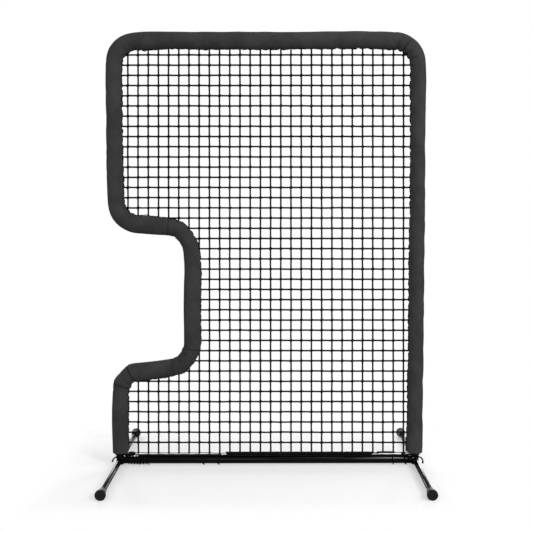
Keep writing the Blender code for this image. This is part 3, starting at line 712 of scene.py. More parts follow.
class Bench:
    """Modelling steps that the hard pieces share, through Blender's own operators."""

    @staticmethod
    def clear() -> None:
        """Deselects everything."""
        bpy.ops.object.select_all(action="DESELECT")

    @staticmethod
    def hold(piece: Piece) -> None:
        """Makes one piece the selected and active object."""
        Bench.clear()
        piece.select_set(True)
        bpy.context.view_layer.objects.active = piece

    @staticmethod
    def taken(name: str) -> Piece:
        """Names the primitive that was just added.

        Args:
            name: its name.

        Returns:
            The primitive.
        """
        made = bpy.context.active_object
        made.name = name
        made.data.name = name
        return made

    @staticmethod
    def rod(name: str, radius: float, depth: float, place: Floats,
            turn: Floats = UPRIGHT, sides: int = 48, filled: bool = True) -> Piece:
        """Adds a cylinder primitive.

        Args:
            name: the piece's name.
            radius: its radius.
            depth: its length.
            place: its middle.
            turn: its rotation from upright.
            sides: faces round it.
            filled: whether it has end faces.

        Returns:
            The new object, with its place in its mesh.
        """
        Bench.clear()
        bpy.ops.mesh.primitive_cylinder_add(vertices=sides, radius=radius, depth=depth, location=place,
                                            rotation=turn, end_fill_type="NGON" if filled else "NOTHING")
        made = Bench.taken(name)
        Bench.settle(made)
        return made

    @staticmethod
    def hoop(name: str, radius: float, thickness: float, segments: tuple[int, int],
             place: Floats = UPRIGHT, turn: Floats = UPRIGHT) -> Piece:
        """Adds a torus primitive, such as a weld bead or one wrap of twine.

        Args:
            name: the piece's name.
            radius: its radius to the middle of its section.
            thickness: its section's radius.
            segments: steps round it and round its section.
            place: its middle.
            turn: its rotation from lying flat.

        Returns:
            The new object, with its place in its mesh.
        """
        Bench.clear()
        bpy.ops.mesh.primitive_torus_add(
            major_segments=segments[0], minor_segments=segments[1], major_radius=radius,
            minor_radius=thickness, location=place, rotation=turn, generate_uvs=True)
        made = Bench.taken(name)
        Bench.settle(made)
        return made

    @staticmethod
    def settle(piece: Piece) -> None:
        """Moves the object's place, turn and scale into its mesh."""
        Bench.hold(piece)
        bpy.ops.object.transform_apply(location=True, rotation=True, scale=True)

    @staticmethod
    def edit(piece: Piece, chosen: Callable[[Vector, Vector], bool]) -> None:
        """Opens edit mode with the faces selected whose centre and normal pass a test.

        Args:
            piece: the piece.
            chosen: the test.
        """
        Bench.hold(piece)
        bpy.ops.object.mode_set(mode="EDIT")
        bpy.ops.mesh.select_all(action="DESELECT")
        bpy.ops.mesh.select_mode(type="FACE")
        bpy.ops.object.mode_set(mode="OBJECT")
        for face in piece.data.polygons:
            face.select = chosen(face.center, face.normal)
        bpy.ops.object.mode_set(mode="EDIT")

    @staticmethod
    def extrude(*step: float) -> None:
        """Extrudes the selected faces by a step in x, y and z."""
        bpy.ops.mesh.extrude_region_move(TRANSFORM_OT_translate={"value": step})

    @staticmethod
    def leave() -> None:
        """Leaves edit mode."""
        bpy.ops.object.mode_set(mode="OBJECT")

    @staticmethod
    def mark(piece: Piece, name: str, values: Array) -> None:
        """Writes a number at each point of a piece's mesh."""
        attribute = piece.data.attributes.new(name, "FLOAT", "POINT")
        attribute.data.foreach_set("value", values.astype(np.float32).ravel())

    @staticmethod
    def smooth(piece: Piece, angle: float = 35.0) -> None:
        """Shades a piece smooth but for its edges that are sharper than an angle in degrees."""
        Bench.hold(piece)
        bpy.ops.object.shade_smooth_by_angle(angle=math.radians(angle))

    @staticmethod
    def modifier(piece: Piece, kind: str, settings: Mapping[str, object]) -> None:
        """Adds a modifier and applies it.

        Args:
            piece: the piece.
            kind: the modifier's type.
            settings: its properties.
        """
        made = piece.modifiers.new(kind.lower(), kind)
        for key, value in settings.items():
            setattr(made, key, value)
        Bench.hold(piece)
        bpy.ops.object.modifier_apply(modifier=made.name)

    @staticmethod
    def soften(piece: Piece, width: float, segments: int = 3, angle: float = 35.0) -> None:
        """Rounds the sharp edges and shades the rest smooth."""
        Bench.modifier(piece, "BEVEL", {"width": width, "segments": segments, "limit_method": "ANGLE",
                                        "angle_limit": math.radians(angle)})
        Bench.smooth(piece, angle)

    @staticmethod
    def cut(piece: Piece, tool: Piece, operation: str = "DIFFERENCE") -> None:
        """Applies a Boolean with another solid, which is used up."""
        Bench.modifier(piece, "BOOLEAN", {"object": tool, "operation": operation, "solver": "EXACT"})
        bpy.data.objects.remove(tool, do_unlink=True)

    @staticmethod
    def joined(pieces: Sequence[Piece]) -> Piece:
        """Joins pieces into the first one.

        Args:
            pieces: the pieces.

        Returns:
            The first one.
        """
        Bench.hold(pieces[0])
        for piece in pieces[1:]:
            piece.select_set(True)
        bpy.ops.object.join()
        return pieces[0]


@dataclass(frozen=True)
class Crease:
    """A gather or dent across a padded bend."""

    bend: int
    share: float
    depth: float
    width: float
    spread: float = 0.9

    @property
    def side(self) -> float:
        """1 for a gather on the net's side of the pad, -1 for one on its outer side."""
        return -1.0 if self.bend in (1, 2) else 1.0


class PadEdge:
    """The laced edge of the covers along the net: pulled in where it is tied, puffed out between."""

    SEED = 11
    FIRST_TIE = 0.03
    TIE_STEPS = (0.03, 0.062)
    TIED_DEPTH = 0.0028
    TIED_RANGE = (0.45, 1.15)
    DEEP_TIMES = 2.3
    DEEP_SHARE = 0.35
    PUFF = 0.0026
    PUFF_RANGE = (0.1, 1.3)
    RIPPLE = 0.0007
    RIPPLE_WAVES = ((520.0, 0.0), (233.0, 1.3))

    def __init__(self, line: FrameLine, radius: float) -> None:
        """Chooses the tied places.

        Args:
            line: the frame's centreline.
            radius: the pads' radius.
        """
        draws = np.random.default_rng(self.SEED)
        self.radius = radius
        places = [line.lengths[0] + self.FIRST_TIE]
        while places[-1] < line.lengths[-1]:
            places.append(places[-1] + draws.uniform(*self.TIE_STEPS))
        self.places = np.array(places)
        self.depths = self.TIED_DEPTH * draws.uniform(*self.TIED_RANGE, len(places))
        self.depths *= np.where(draws.random(len(places)) < self.DEEP_SHARE, self.DEEP_TIMES, 1.0)
        self.puffs = self.PUFF * draws.uniform(*self.PUFF_RANGE, len(places))

    def rise(self, s: Array) -> Array:
        """How far the edge stands out past the pad's round section.

        Args:
            s: distances along the line.

        Returns:
            The edge's rise at each of them.
        """
        index = np.clip(np.searchsorted(self.places, s) - 1, 0, len(self.places) - 2)
        share = np.clip((s - self.places[index]) / (self.places[index + 1] - self.places[index]), 0, 1)
        hump = np.sqrt(np.sin(math.pi * share))
        tied = self.depths[index] * (1 - share) + self.depths[index + 1] * share
        ripple = sum(self.RIPPLE * np.sin(s * wave + phase) for wave, phase in self.RIPPLE_WAVES)
        return self.puffs[index] * hump - tied * (1 - hump) + ripple


class PadShape:
    """How the padding stands off a plain round sleeve: leans, facets, gathers and its laced edge."""

    CREASES = [Crease(bend, *gather) for bend, gathers in enumerate((
        ((0.27, 0.0036, 0.007), (0.52, 0.003, 0.009), (0.8, 0.005, 0.008), (1.04, 0.0034, 0.008)),
        ((0.04, 0.003, 0.008), (0.3, 0.0042, 0.01), (0.66, 0.0038, 0.01), (0.95, 0.0024, 0.008)),
        ((0.16, 0.0026, 0.009), (0.48, 0.0036, 0.01), (0.8, 0.0044, 0.01), (1.02, 0.0024, 0.008)),
        ((0.35, 0.002, 0.01), (0.72, 0.0026, 0.01)),
        ((0.3, 0.0034, 0.009), (0.62, 0.003, 0.009)),
        ((0.1, 0.004, 0.007), (0.36, 0.006, 0.008, 1.3), (0.58, 0.005, 0.007, 1.2),
         (0.82, 0.0064, 0.008, 1.35), (1.06, 0.0036, 0.007)),
    )) for gather in gathers]

    # (metres along the line, outer side out by, net side out by), the last two in millimetres
    LEANS = (
        (0.0, -3.0, 5.3), (0.05, -3.0, 5.3), (0.09, -3.0, 3.3), (0.19, -1.8, 4.9), (0.24, -3.3, 8.1),
        (0.29, -7.0, 7.6), (0.34, -10.0, 7.7), (0.39, -1.8, 9.0), (0.44, 1.1, 2.3), (0.49, 4.4, 9.0),
        (0.59, 0.6, 8.7), (0.64, 2.0, 5.2), (0.69, 5.5, 1.9), (0.74, 7.9, -4.6), (0.79, 10.0, -6.0),
        (0.84, 2.5, 2.6), (0.94, 2.9, 0.4), (1.04, 2.2, 3.5), (1.14, -1.2, 5.6), (1.19, -3.3, 5.2),
        (1.24, -2.1, 5.2), (1.29, 1.4, 2.1), (1.34, 7.8, -6.0), (1.39, 7.7, -6.0), (1.44, 0.6, 1.1),
        (1.49, 0.4, 5.9), (1.59, 1.7, 9.0), (1.64, 2.6, 6.2), (1.69, -1.4, 7.3), (1.74, -2.3, 9.0),
        (1.79, -4.1, 5.5), (1.84, -2.7, 2.2), (1.94, 0.3, 3.1), (2.04, -0.4, 1.8), (2.19, -1.9, 0.7),
        (2.39, -3.7, 2.4), (2.44, -5.8, 4.7), (2.49, -7.1, 6.4), (2.54, -0.5, 3.7), (2.59, 1.3, 6.1),
        (2.64, 0.6, 1.0), (2.69, 4.2, 5.0), (2.79, 5.1, -1.8), (2.89, 4.2, -3.4), (2.99, 3.6, 2.7),
        (3.14, 2.4, 1.5), (3.29, 1.7, 4.8), (3.44, -0.2, 2.6), (3.64, 2.0, 2.0), (3.79, -0.7, 1.9),
        (3.84, -1.2, 5.2), (3.89, -3.5, 8.8), (3.94, -5.4, 7.0), (3.99, -5.9, 8.0), (4.04, -5.5, 3.6),
        (4.09, -5.5, 1.4), (4.19, -2.3, -0.7), (4.29, -3.8, -3.1), (4.49, -3.6, -4.3), (4.69, -2.1, -4.9),
        (4.84, -0.9, -5.0), (5.04, -1.1, -2.9), (5.29, -1.6, -2.4), (5.49, -1.1, -4.4), (5.64, -2.1, -0.8),
        (5.84, -2.5, -0.4), (5.94, -1.7, 1.4), (5.99, -1.8, 3.1), (6.04, -0.7, 4.0),
    )

    # a gather's pull round the pad: where it starts and how fast it grows
    PULL_START = 0.55
    PULL_POWER = 1.5
    # the swelling on both sides of a gather, as shares of its depth and width
    SWELL_HEIGHT = 0.35
    SWELL_WIDTH = 2.6
    UNEVEN = 0.0005
    UNEVEN_WAVES = (31.0, 2.0, 12.7, 1.7)
    # the mitred elbow: shares of the bend, then (height, width) of its corners and of its hollow
    ELBOW_SEAMS = (0.3, 0.8)
    ELBOW_CORNER = (0.0042, 0.014)
    ELBOW_HOLLOW = (0.005, 0.026)
    LACED_WIDTH = 0.013
    FOAM_POWER = 8
    FULL_GATHER = 0.0075
    SHADOW_FALL = 2.2
    DEEPEST_TIE = -0.0048

    def __init__(self, line: FrameLine, edge: PadEdge) -> None:
        """Keeps the line and the laced edge, and lays out the leans."""
        self.line = line
        self.edge = edge
        self.leans = np.array(self.LEANS) * (1.0, MILLIMETRE, MILLIMETRE)

    def lean(self, s: Array, angle: Array) -> Array:
        """Slow change of the padding's outline along the frame, on its outer and its net side.

        Args:
            s: distances along the line.
            angle: turns in radians from the net's side, as in all the methods below.

        Returns:
            How far the padding stands out there.
        """
        facing = np.cos(angle)
        outer, inner = (np.interp(s, self.leans[:, 0], self.leans[:, k]) for k in (1, 2))
        return outer * np.clip(-facing, 0.0, 1.0) + inner * np.clip(facing, 0.0, 1.0)

    def pull(self, crease: Crease, angle: Array) -> Array:
        """How strongly a gather pulls at angles round the pad, from 0 to 1."""
        facing = crease.side * np.cos(angle)
        reach = (facing + crease.spread - self.PULL_START) / crease.spread
        return np.clip(reach, 0.0, 1.0) ** self.PULL_POWER

    def folds(self, s: Array, angle: Array) -> Array:
        """Gathers across the bends, the mitred elbow's corners and a slow unevenness.

        Args:
            s: distances along the line.
            angle: turns from the net's side.

        Returns:
            How far they move the padding out.
        """
        stand = self.elbow(s) * np.clip(-np.cos(angle), 0.0, 1.0)
        for crease in self.CREASES:
            centre = self.line.bend(crease.bend, crease.share)
            pull = self.pull(crease, angle)
            swell = ((s - centre) / (self.SWELL_WIDTH * crease.width)) ** 2
            stand = stand - crease.depth * pull * np.exp(-np.abs(s - centre) / crease.width)
            stand = stand + crease.depth * self.SWELL_HEIGHT * pull * np.exp(-swell)
        along, sway, other, twist = self.UNEVEN_WAVES
        slow = np.sin(s * along + sway * np.cos(angle)) * np.sin(s * other + twist * angle)
        return stand + self.UNEVEN * slow

    def elbow(self, s: Array) -> Array:
        """Outer corners where the cover of the lower elbow is pulled straight between its seams.

        Args:
            s: distances along the line.

        Returns:
            How far they stand out.
        """
        low, high = (self.line.bend(0, share) for share in self.ELBOW_SEAMS)
        centre = (low + high) / 2
        (height, width), (depth, hollow) = self.ELBOW_CORNER, self.ELBOW_HOLLOW
        corners = height * (np.exp(-np.abs(s - low) / width) + np.exp(-np.abs(s - high) / width))
        return corners - depth * np.exp(-((s - centre) / hollow) ** 2)

    def cover(self, s: Array, angle: Array) -> Array:
        """How far a cover stands off its round section, at distances and angles."""
        laced = self.edge.rise(s) * self.near_slit(angle, self.LACED_WIDTH)
        return laced + self.lean(s, angle) + self.folds(s, angle)

    def near_slit(self, angle: Array, width: float) -> Array:
        """How near each angle is to the slit, from 0 to 1, fading over a width."""
        from_slit = (math.pi - np.abs(angle - math.pi)) * self.edge.radius
        return np.exp(-(from_slit / width) ** 2)

    def foam(self, s: Array, angle: Array) -> Array:
        """How far the foam stands off its round section, always inside the cover."""
        laced = -self.edge.TIED_DEPTH * np.clip(np.cos(angle), 0.0, 1.0) ** self.FOAM_POWER
        return laced + self.lean(s, angle) + np.minimum(self.folds(s, angle), 0.0)

    def gathers(self, s: Array, angle: Array) -> Array:
        """How deep in a gather's fold each place lies, from 0 to 1.

        Args:
            s: distances along the line.
            angle: turns from the net's side.

        Returns:
            The depths.
        """
        depth = np.zeros_like(s)
        for crease in self.CREASES:
            away = np.abs(s - self.line.bend(crease.bend, crease.share)) / crease.width
            shadow = crease.depth / self.FULL_GATHER * self.pull(crease, angle)
            depth = np.maximum(depth, shadow * np.exp(-self.SHADOW_FALL * away))
        return np.clip(depth, 0.0, 1.0)

    def lace_reach(self, s: Array) -> Array:
        """Distance of the lace's near side from the centreline: it bridges the deepest ties."""
        zero = np.zeros_like(s)
        edge = np.maximum(self.edge.rise(s), self.DEEPEST_TIE)
        return self.edge.radius + self.lean(s, zero) + self.folds(s, zero) + edge


@dataclass(frozen=True)
class Inflation:
    """A short cloth simulation that puffs the covers out between their pinned seams."""

    pressure: float = 3.0
    frames: int = 20
    reach: float = 0.0011
    slack: float = 0.02

    CLOTH = {"quality": 6, "mass": 0.2, "tension_stiffness": 12.0, "compression_stiffness": 12.0,
             "shear_stiffness": 4.0, "bending_stiffness": 0.6, "air_damping": 3.0,
             "use_pressure": True, "vertex_group_mass": "pinned"}
    NO_MOVE = 1e-9

    def run(self, covers: Sequence[Piece]) -> None:
        """Simulates all covers at once and keeps the result in their meshes.

        Args:
            covers: open sheets with a vertex group named pinned.
        """
        scene = bpy.context.scene
        scene.frame_start, scene.frame_end = 1, self.frames
        for cover in covers:
            cloth = cover.modifiers.new("cloth", "CLOTH")
            for key, value in self.CLOTH.items():
                setattr(cloth.settings, key, value)
            cloth.settings.uniform_pressure_force = self.pressure
            cloth.settings.shrink_min = -self.slack
            cloth.settings.effector_weights.gravity = 0.0
            cloth.point_cache.frame_start, cloth.point_cache.frame_end = 1, self.frames
        for frame in range(1, self.frames + 1):
            scene.frame_set(frame)
        graph = bpy.context.evaluated_depsgraph_get()
        for cover in covers:
            start = self.places(cover.data)
            moved = self.places(cover.evaluated_get(graph).data) - start
            size = np.linalg.norm(moved, axis=1, keepdims=True)
            moved *= self.reach * np.tanh(size / self.reach) / np.maximum(size, self.NO_MOVE)
            LOG.info("%s moved by up to %.1f mm in the simulation", cover.name, size.max() / MILLIMETRE)
            cover.data.vertices.foreach_set("co", (start + moved).astype(np.float32).ravel())
            cover.modifiers.clear()
        scene.frame_set(1)

    @staticmethod
    def places(mesh: bpy.types.Mesh) -> Array:
        """A mesh's vertices as rows of (x, y, z)."""
        flat = np.zeros(len(mesh.vertices) * 3, np.float32)
        mesh.vertices.foreach_get("co", flat)
        return flat.reshape(-1, 3).astype(float)


@dataclass
class PadCovers:
    """The sewn covers round the foam, open along the net and drawn in at both feet."""

    line: FrameLine
    shape: PadShape
    shelf: FinishShelf
    radius: float
    bottom_z: float
    wall: float = 0.0012
    slit: float = 0.0078
    columns: int = 33
    spacing: float = 0.011
    bend_spacing: float = 0.005
    elbow_seams: tuple[float, float] = (0.27, 0.77)
    lower_bend_seam_x: float = -0.47
    upper_arm_seam_x: float = -0.484
    seam_gap: float = 0.0003
    pleats: int = 15
    pleat_sway: float = 0.0009
    pleat_rise: float = 0.0007
    samples: int = 2000
    bend_margin: float = 0.02
    tie_reach: float = 0.75
    seam_shadow: float = 0.003
    gather_shadow: float = 0.8
    grime_width: float = 0.012

    SEAM_STRENGTHS = (1.0, 1.0, 0.35, 0.35, 0.35, 0.12)
    HEM = ((0.0, -0.0026), (0.0006, -0.0012), (0.0022, -0.0003), (0.0055, 0.0))
    FOOT_END = ((0.0022, -0.0175), (0.0008, -0.013), (0.0, -0.0085), (0.0012, -0.0045),
                (0.004, -0.0017), (0.0085, -0.0004), (0.014, 0.0))

    NAMES = ("left_lower_cover", "lower_elbow_cover", "lower_arm_cover", "lower_bend_cover",
             "notch_side_cover", "upper_left_cover", "right_cover")

    def breaks(self) -> list[float]:
        """Distances of the first cover's start, of each seam and of the last cover's end.

        Returns:
            The distances in order.
        """
        line = self.line
        return [
            line.run(0, z=self.bottom_z), *(line.bend(0, share) for share in self.elbow_seams),
            line.run(1, x=self.lower_bend_seam_x), line.chord_corner(1, 3),
            line.run(3, x=self.upper_arm_seam_x), line.chord_corner(5, 1),
            line.run(6, z=self.bottom_z),
        ]

    def stations(self, start: float, end: float, open_start: bool, open_end: bool) -> Array:
        """Lays out the rings of one cover.

        Args:
            start: distance of its first ring along the line.
            end: distance of its last ring.
            open_start: whether it is drawn in round the foot at its start, not sewn.
            open_end: the same at its end.

        Returns:
            A row of (distance, radius, drawn-in share) for each ring.
        """
        head = self.FOOT_END if open_start else self.HEM
        tail = self.FOOT_END if open_end else self.HEM
        first = [(start + ahead, self.radius + dip, open_start) for ahead, dip in head]
        last = [(end - ahead, self.radius + dip, open_end) for ahead, dip in tail[::-1]]
        between = [(s, self.radius, False) for s in self.spread(first[-1][0], last[0][0])[1:-1]]
        return np.array([(s, r, float(drawn and r < self.radius - self.seam_gap * 4))
                         for s, r, drawn in first + between + last])

    def spread(self, start: float, end: float) -> Array:
        """Distances from one place to another, closer together in the bends.

        Args:
            start: the first distance.
            end: the last distance.

        Returns:
            The distances in order.
        """
        s = np.linspace(start, end, self.samples)
        step = np.full(len(s), self.spacing)
        for first, last in self.line.bend_points:
            low = self.line.lengths[first] - self.bend_margin
            high = self.line.lengths[last] + self.bend_margin
            step[(s > low) & (s < high)] = self.bend_spacing
        rungs = np.concatenate([[0.0], np.cumsum(np.diff(s) / step[1:])])
        return np.interp(np.linspace(0.0, rungs[-1], max(2, round(rungs[-1])) + 1), rungs, s)

    def skin(self, name: str, rings: Array) -> Piece:
        """Builds one cover as an open sheet, with its seams and laced edges in a pin group.

        Args:
            name: the sheet's name.
            rings: its stations.

        Returns:
            The sheet.
        """
        slit_angle = math.asin(self.slit / 2 / self.radius)
        angles = np.linspace(slit_angle, math.tau - slit_angle, self.columns)
        s, angle = np.meshgrid(rings[:, 0], angles, indexing="ij")
        drawn = np.repeat(rings[:, 2:3], self.columns, axis=1)
        dip = (rings[:, 1:2] - self.radius) * np.where(drawn > 0, 1.0, self.shown(s))
        radius = self.radius + dip + self.shape.cover(s, angle) * (1 - drawn)
        pleat = np.cos(angle * self.pleats) * drawn
        s = s + self.pleat_sway * pleat
        radius = radius + self.pleat_rise * pleat
        uv = np.stack([angle * self.radius, s], axis=-1)
        draft = MeshDraft()
        draft.grid(self.line.shell(s, radius, angle), uv)
        cover = draft.build(name, CLOTH_UV)
        self.pin(cover, rings, s)
        self.mark(cover, rings, s, angle)
        return cover

    def shown(self, s: Array) -> Array:
        """How plainly the nearest seam shows."""
        seams = np.array(self.breaks()[1:-1])
        return np.array(self.SEAM_STRENGTHS)[np.abs(s[..., None] - seams).argmin(axis=-1)]

    def pin(self, cover: Piece, rings: Array, s: Array) -> None:
        """Pins the seams, the drawn-in ends and the tied places of the laced edges.

        Args:
            cover: the sheet.
            rings: its stations.
            s: distance along the line of each point.
        """
        group = cover.vertex_groups.new(name="pinned")
        rows = len(rings)
        sewn = set(range(len(self.HEM) - 1)) | set(range(rows - len(self.HEM) + 1, rows))
        sewn |= {int(k) for k in np.nonzero(rings[:, 2])[0]}
        held = [row * self.columns + column for row in sorted(sewn) for column in range(self.columns)]
        for row in range(rows):
            from_tie = np.abs(self.shape.edge.places - s[row, 0]).min()
            if row not in sewn and from_tie < self.spacing * self.tie_reach:
                held += [row * self.columns + column for column in (0, 1, self.columns - 2, self.columns - 1)]
        group.add(held, 1.0, "REPLACE")

    def mark(self, cover: Piece, rings: Array, s: Array, angle: Array) -> None:
        """Writes how strongly each point takes the painted shade along the seams and in the gathers' folds,
        and how near it is to the laced edges.

        Args:
            cover: the sheet.
            rings: its stations.
            s: distance along the line of each point.
            angle: turn of each point from the net's side.
        """
        start, end = rings[0, 0], rings[-1, 0]
        near_seam = np.minimum(np.abs(rings[:, 0] - start), np.abs(rings[:, 0] - end))
        # painted shade in a narrow band along each seam
        seam = np.clip(1.0 - near_seam / self.seam_shadow, 0.0, 1.0) * (1 - rings[:, 2])
        seam = np.repeat(seam[:, None], self.columns, axis=1) * self.shown(s)
        # painted shade in the gathers' folds, darker where a fold is deeper
        seam = np.maximum(seam, self.gather_shadow * self.shape.gathers(s, angle))
        Bench.mark(cover, SEAM_AND_FOLD_SHADE, seam)
        Bench.mark(cover, TONE_MARK, self.shape.near_slit(angle, self.grime_width))

    def build(self) -> list[Piece]:
        """Makes all covers.

        Returns:
            The covers in their order along the line.
        """
        breaks = self.breaks()
        covers = []
        for name, start, end in zip(self.NAMES, breaks, breaks[1:]):
            first, last = name == self.NAMES[0], name == self.NAMES[-1]
            begin = start if first else start + self.seam_gap / 2
            stop = end if last else end - self.seam_gap / 2
            covers.append(self.skin(name + "_skin", self.stations(begin, stop, first, last)))
        Inflation().run(covers)
        for name, cover in zip(self.NAMES, covers):
            Bench.modifier(cover, "SOLIDIFY", {"thickness": self.wall, "offset": -1.0,
                                               "use_even_offset": True})
            Bench.modifier(cover, "SUBSURF", {"levels": 1, "render_levels": 1})
            cover.data.shade_smooth()
            cover.vertex_groups.clear()
            self.shelf.fit(cover, Slot.COVER, name)
        return covers


@dataclass
class SeamStitches:
    """Rows of thread on both sides of each seam between two covers."""

    covers: PadCovers
    shelf: FinishShelf
    pitch: float = 0.0052
    length: float = 0.0034
    thread: float = 0.00055
    inset: float = 0.0042
    from_slit: float = 0.008
    outside: float = 1.4

    LIFTS = (-0.3, 0.9, -0.3)

    def build(self, skins: Sequence[Piece]) -> None:
        """Lays the stitches on the finished covers.

        Args:
            skins: the covers in their order along the line.
        """
        seams = self.covers.breaks()[1:-1]
        trees = [self.tree(skin) for skin in skins]
        for index, seam in enumerate(seams):
            draft = MeshDraft()
            for tree, side in ((trees[index], -1.0), (trees[index + 1], 1.0)):
                self.row(draft, tree, seam + side * self.inset)
            name = self.covers.NAMES[index + 1].replace("_cover", "_stitches")
            self.shelf.fit(draft.build(name, CLOTH_UV), Slot.COVER)

    def row(self, draft: MeshDraft, tree: BVHTree, s: float) -> None:
        """Adds one row of stitches round the pad.

        Args:
            draft: the draft that takes them.
            tree: the search tree of the cover under them.
            s: the row's distance along the line.
        """
        radius = self.covers.radius
        count = int((math.tau * radius - 2 * self.from_slit) / self.pitch)
        for k in range(count):
            angle = self.from_slit / radius + (k + 0.5) * self.pitch / radius
            reach = self.length / 2 / radius
            ends = [self.surface(tree, s, angle + share * reach) for share in (-1.0, 0.0, 1.0)]
            if any(end is None for end in ends):
                continue
            path = [place + normal * self.thread * lift for (place, normal), lift in zip(ends, self.LIFTS)]
            draft.tube(np.array(path), self.thread, 5)

    def surface(self, tree: BVHTree, s: float, angle: float) -> Optional[tuple[Array, Array]]:
        """Place and outward direction on a cover, found from outside towards the centreline.

        Args:
            tree: the cover's search tree.
            s: distance along the line.
            angle: turn from the net's side.

        Returns:
            The place and the direction, or None where there is no cover.
        """
        inner, outer = (Vector(self.covers.line.shell(np.array(s), np.array(radius), np.array(angle)))
                        for radius in (0.0, self.covers.radius * self.outside))
        place = tree.ray_cast(outer, inner - outer)[0]
        if place is None:
            return None
        return np.array(place), np.array((outer - inner).normalized())

    @staticmethod
    def tree(skin: Piece) -> BVHTree:
        """A search tree of a finished cover."""
        mesh = skin.data
        return BVHTree.FromPolygons([v.co for v in mesh.vertices], [p.vertices[:] for p in mesh.polygons])


@dataclass
class FoamSleeves:
    """Split foam sleeves under the covers, one to each frame tube."""

    line: FrameLine
    shape: PadShape
    shelf: FinishShelf
    joints: Floats
    bottom_z: float
    radius: float = 0.0367
    bore: float = 0.01945
    slit: float = 0.0072
    sides: int = 40
    spacing: float = 0.012
    gap: float = 0.0003
    drawn: float = 0.008
    drawn_length: float = 0.01
    uv_step: float = 0.005

    NAMES = ("left_lower_foam", "notch_lower_foam", "notch_upper_foam",
             "top_left_foam", "top_right_foam", "right_lower_foam")

    def ring(self, radius: float) -> Array:
        """Angles of one ring, open at the slit."""
        opening = math.asin(self.slit / 2 / radius)
        return np.linspace(opening, math.tau - opening, self.sides)

    def build(self) -> None:
        """Makes the six sleeves."""
        breaks = [self.line.run(0, z=self.bottom_z), self.line.chord_corner(0, 0), *self.joints[1:],
                  self.line.run(6, z=self.bottom_z)]
        for name, start, end in zip(self.NAMES, breaks, breaks[1:]):
            self.sleeve(name, start + self.gap / 2, end - self.gap / 2,
                        name == self.NAMES[0], name == self.NAMES[-1])

    def sleeve(self, name: str, start: float, end: float, open_start: bool, open_end: bool) -> None:
        """Makes one sleeve.

        Args:
            name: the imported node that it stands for.
            start: distance of its start along the line.
            end: distance of its end.
            open_start: whether its start is an end of the padding, which is drawn in.
            open_end: the same for its end.
        """
        head = start + (self.drawn_length if open_start else 0.0)
        tail = end - (self.drawn_length if open_end else 0.0)
        s = np.linspace(head, tail, max(2, round((tail - head) / self.spacing)) + 1)
        radius = np.full(len(s), self.radius)
        if open_start:
            s, radius = np.concatenate([[start], s]), np.concatenate([[self.radius - self.drawn], radius])
        if open_end:
            s, radius = np.concatenate([s, [end]]), np.concatenate([radius, [self.radius - self.drawn]])
        outer, inner = self.ring(self.radius), self.ring(self.bore)[::-1]
        angle = np.tile(np.concatenate([outer, inner]), (len(s), 1))
        sizes = np.concatenate([np.repeat(radius[:, None], self.sides, axis=1),
                                np.full((len(s), self.sides), self.bore)], axis=1)
        along = np.repeat(s[:, None], angle.shape[1], axis=1)
        sizes[:, :self.sides] += self.shape.foam(along, angle)[:, :self.sides]
        places = self.line.shell(along, sizes, angle)
        uv = np.stack([np.tile(np.arange(angle.shape[1] + 1) * self.uv_step, (len(s), 1)),
                       np.repeat(s[:, None], angle.shape[1] + 1, axis=1)], axis=-1)
        draft = MeshDraft()
        base = draft.grid(places, uv, ring=True)
        self.close(draft, base, angle.shape[1], len(s))
        piece = draft.build(name + "_sleeve", CLOTH_UV)
        piece.data.set_sharp_from_angle(angle=SHARP_EDGE)
        self.shelf.fit(piece, Slot.FOAM, name)

    def close(self, draft: MeshDraft, base: int, count: int, rows: int) -> None:
        """Closes both ends of a sleeve with quads between its outer and inner rings.

        Args:
            draft: the sleeve's draft.
            base: its first vertex.
            count: vertices of a ring.
            rows: how many rings it has.
        """
        for row, flip in ((0, True), (rows - 1, False)):
            first = base + row * count
            for k in range(self.sides - 1):
                quad = [first + k, first + k + 1, first + count - 2 - k, first + count - 1 - k]
                draft.cap(quad[::-1] if flip else quad)


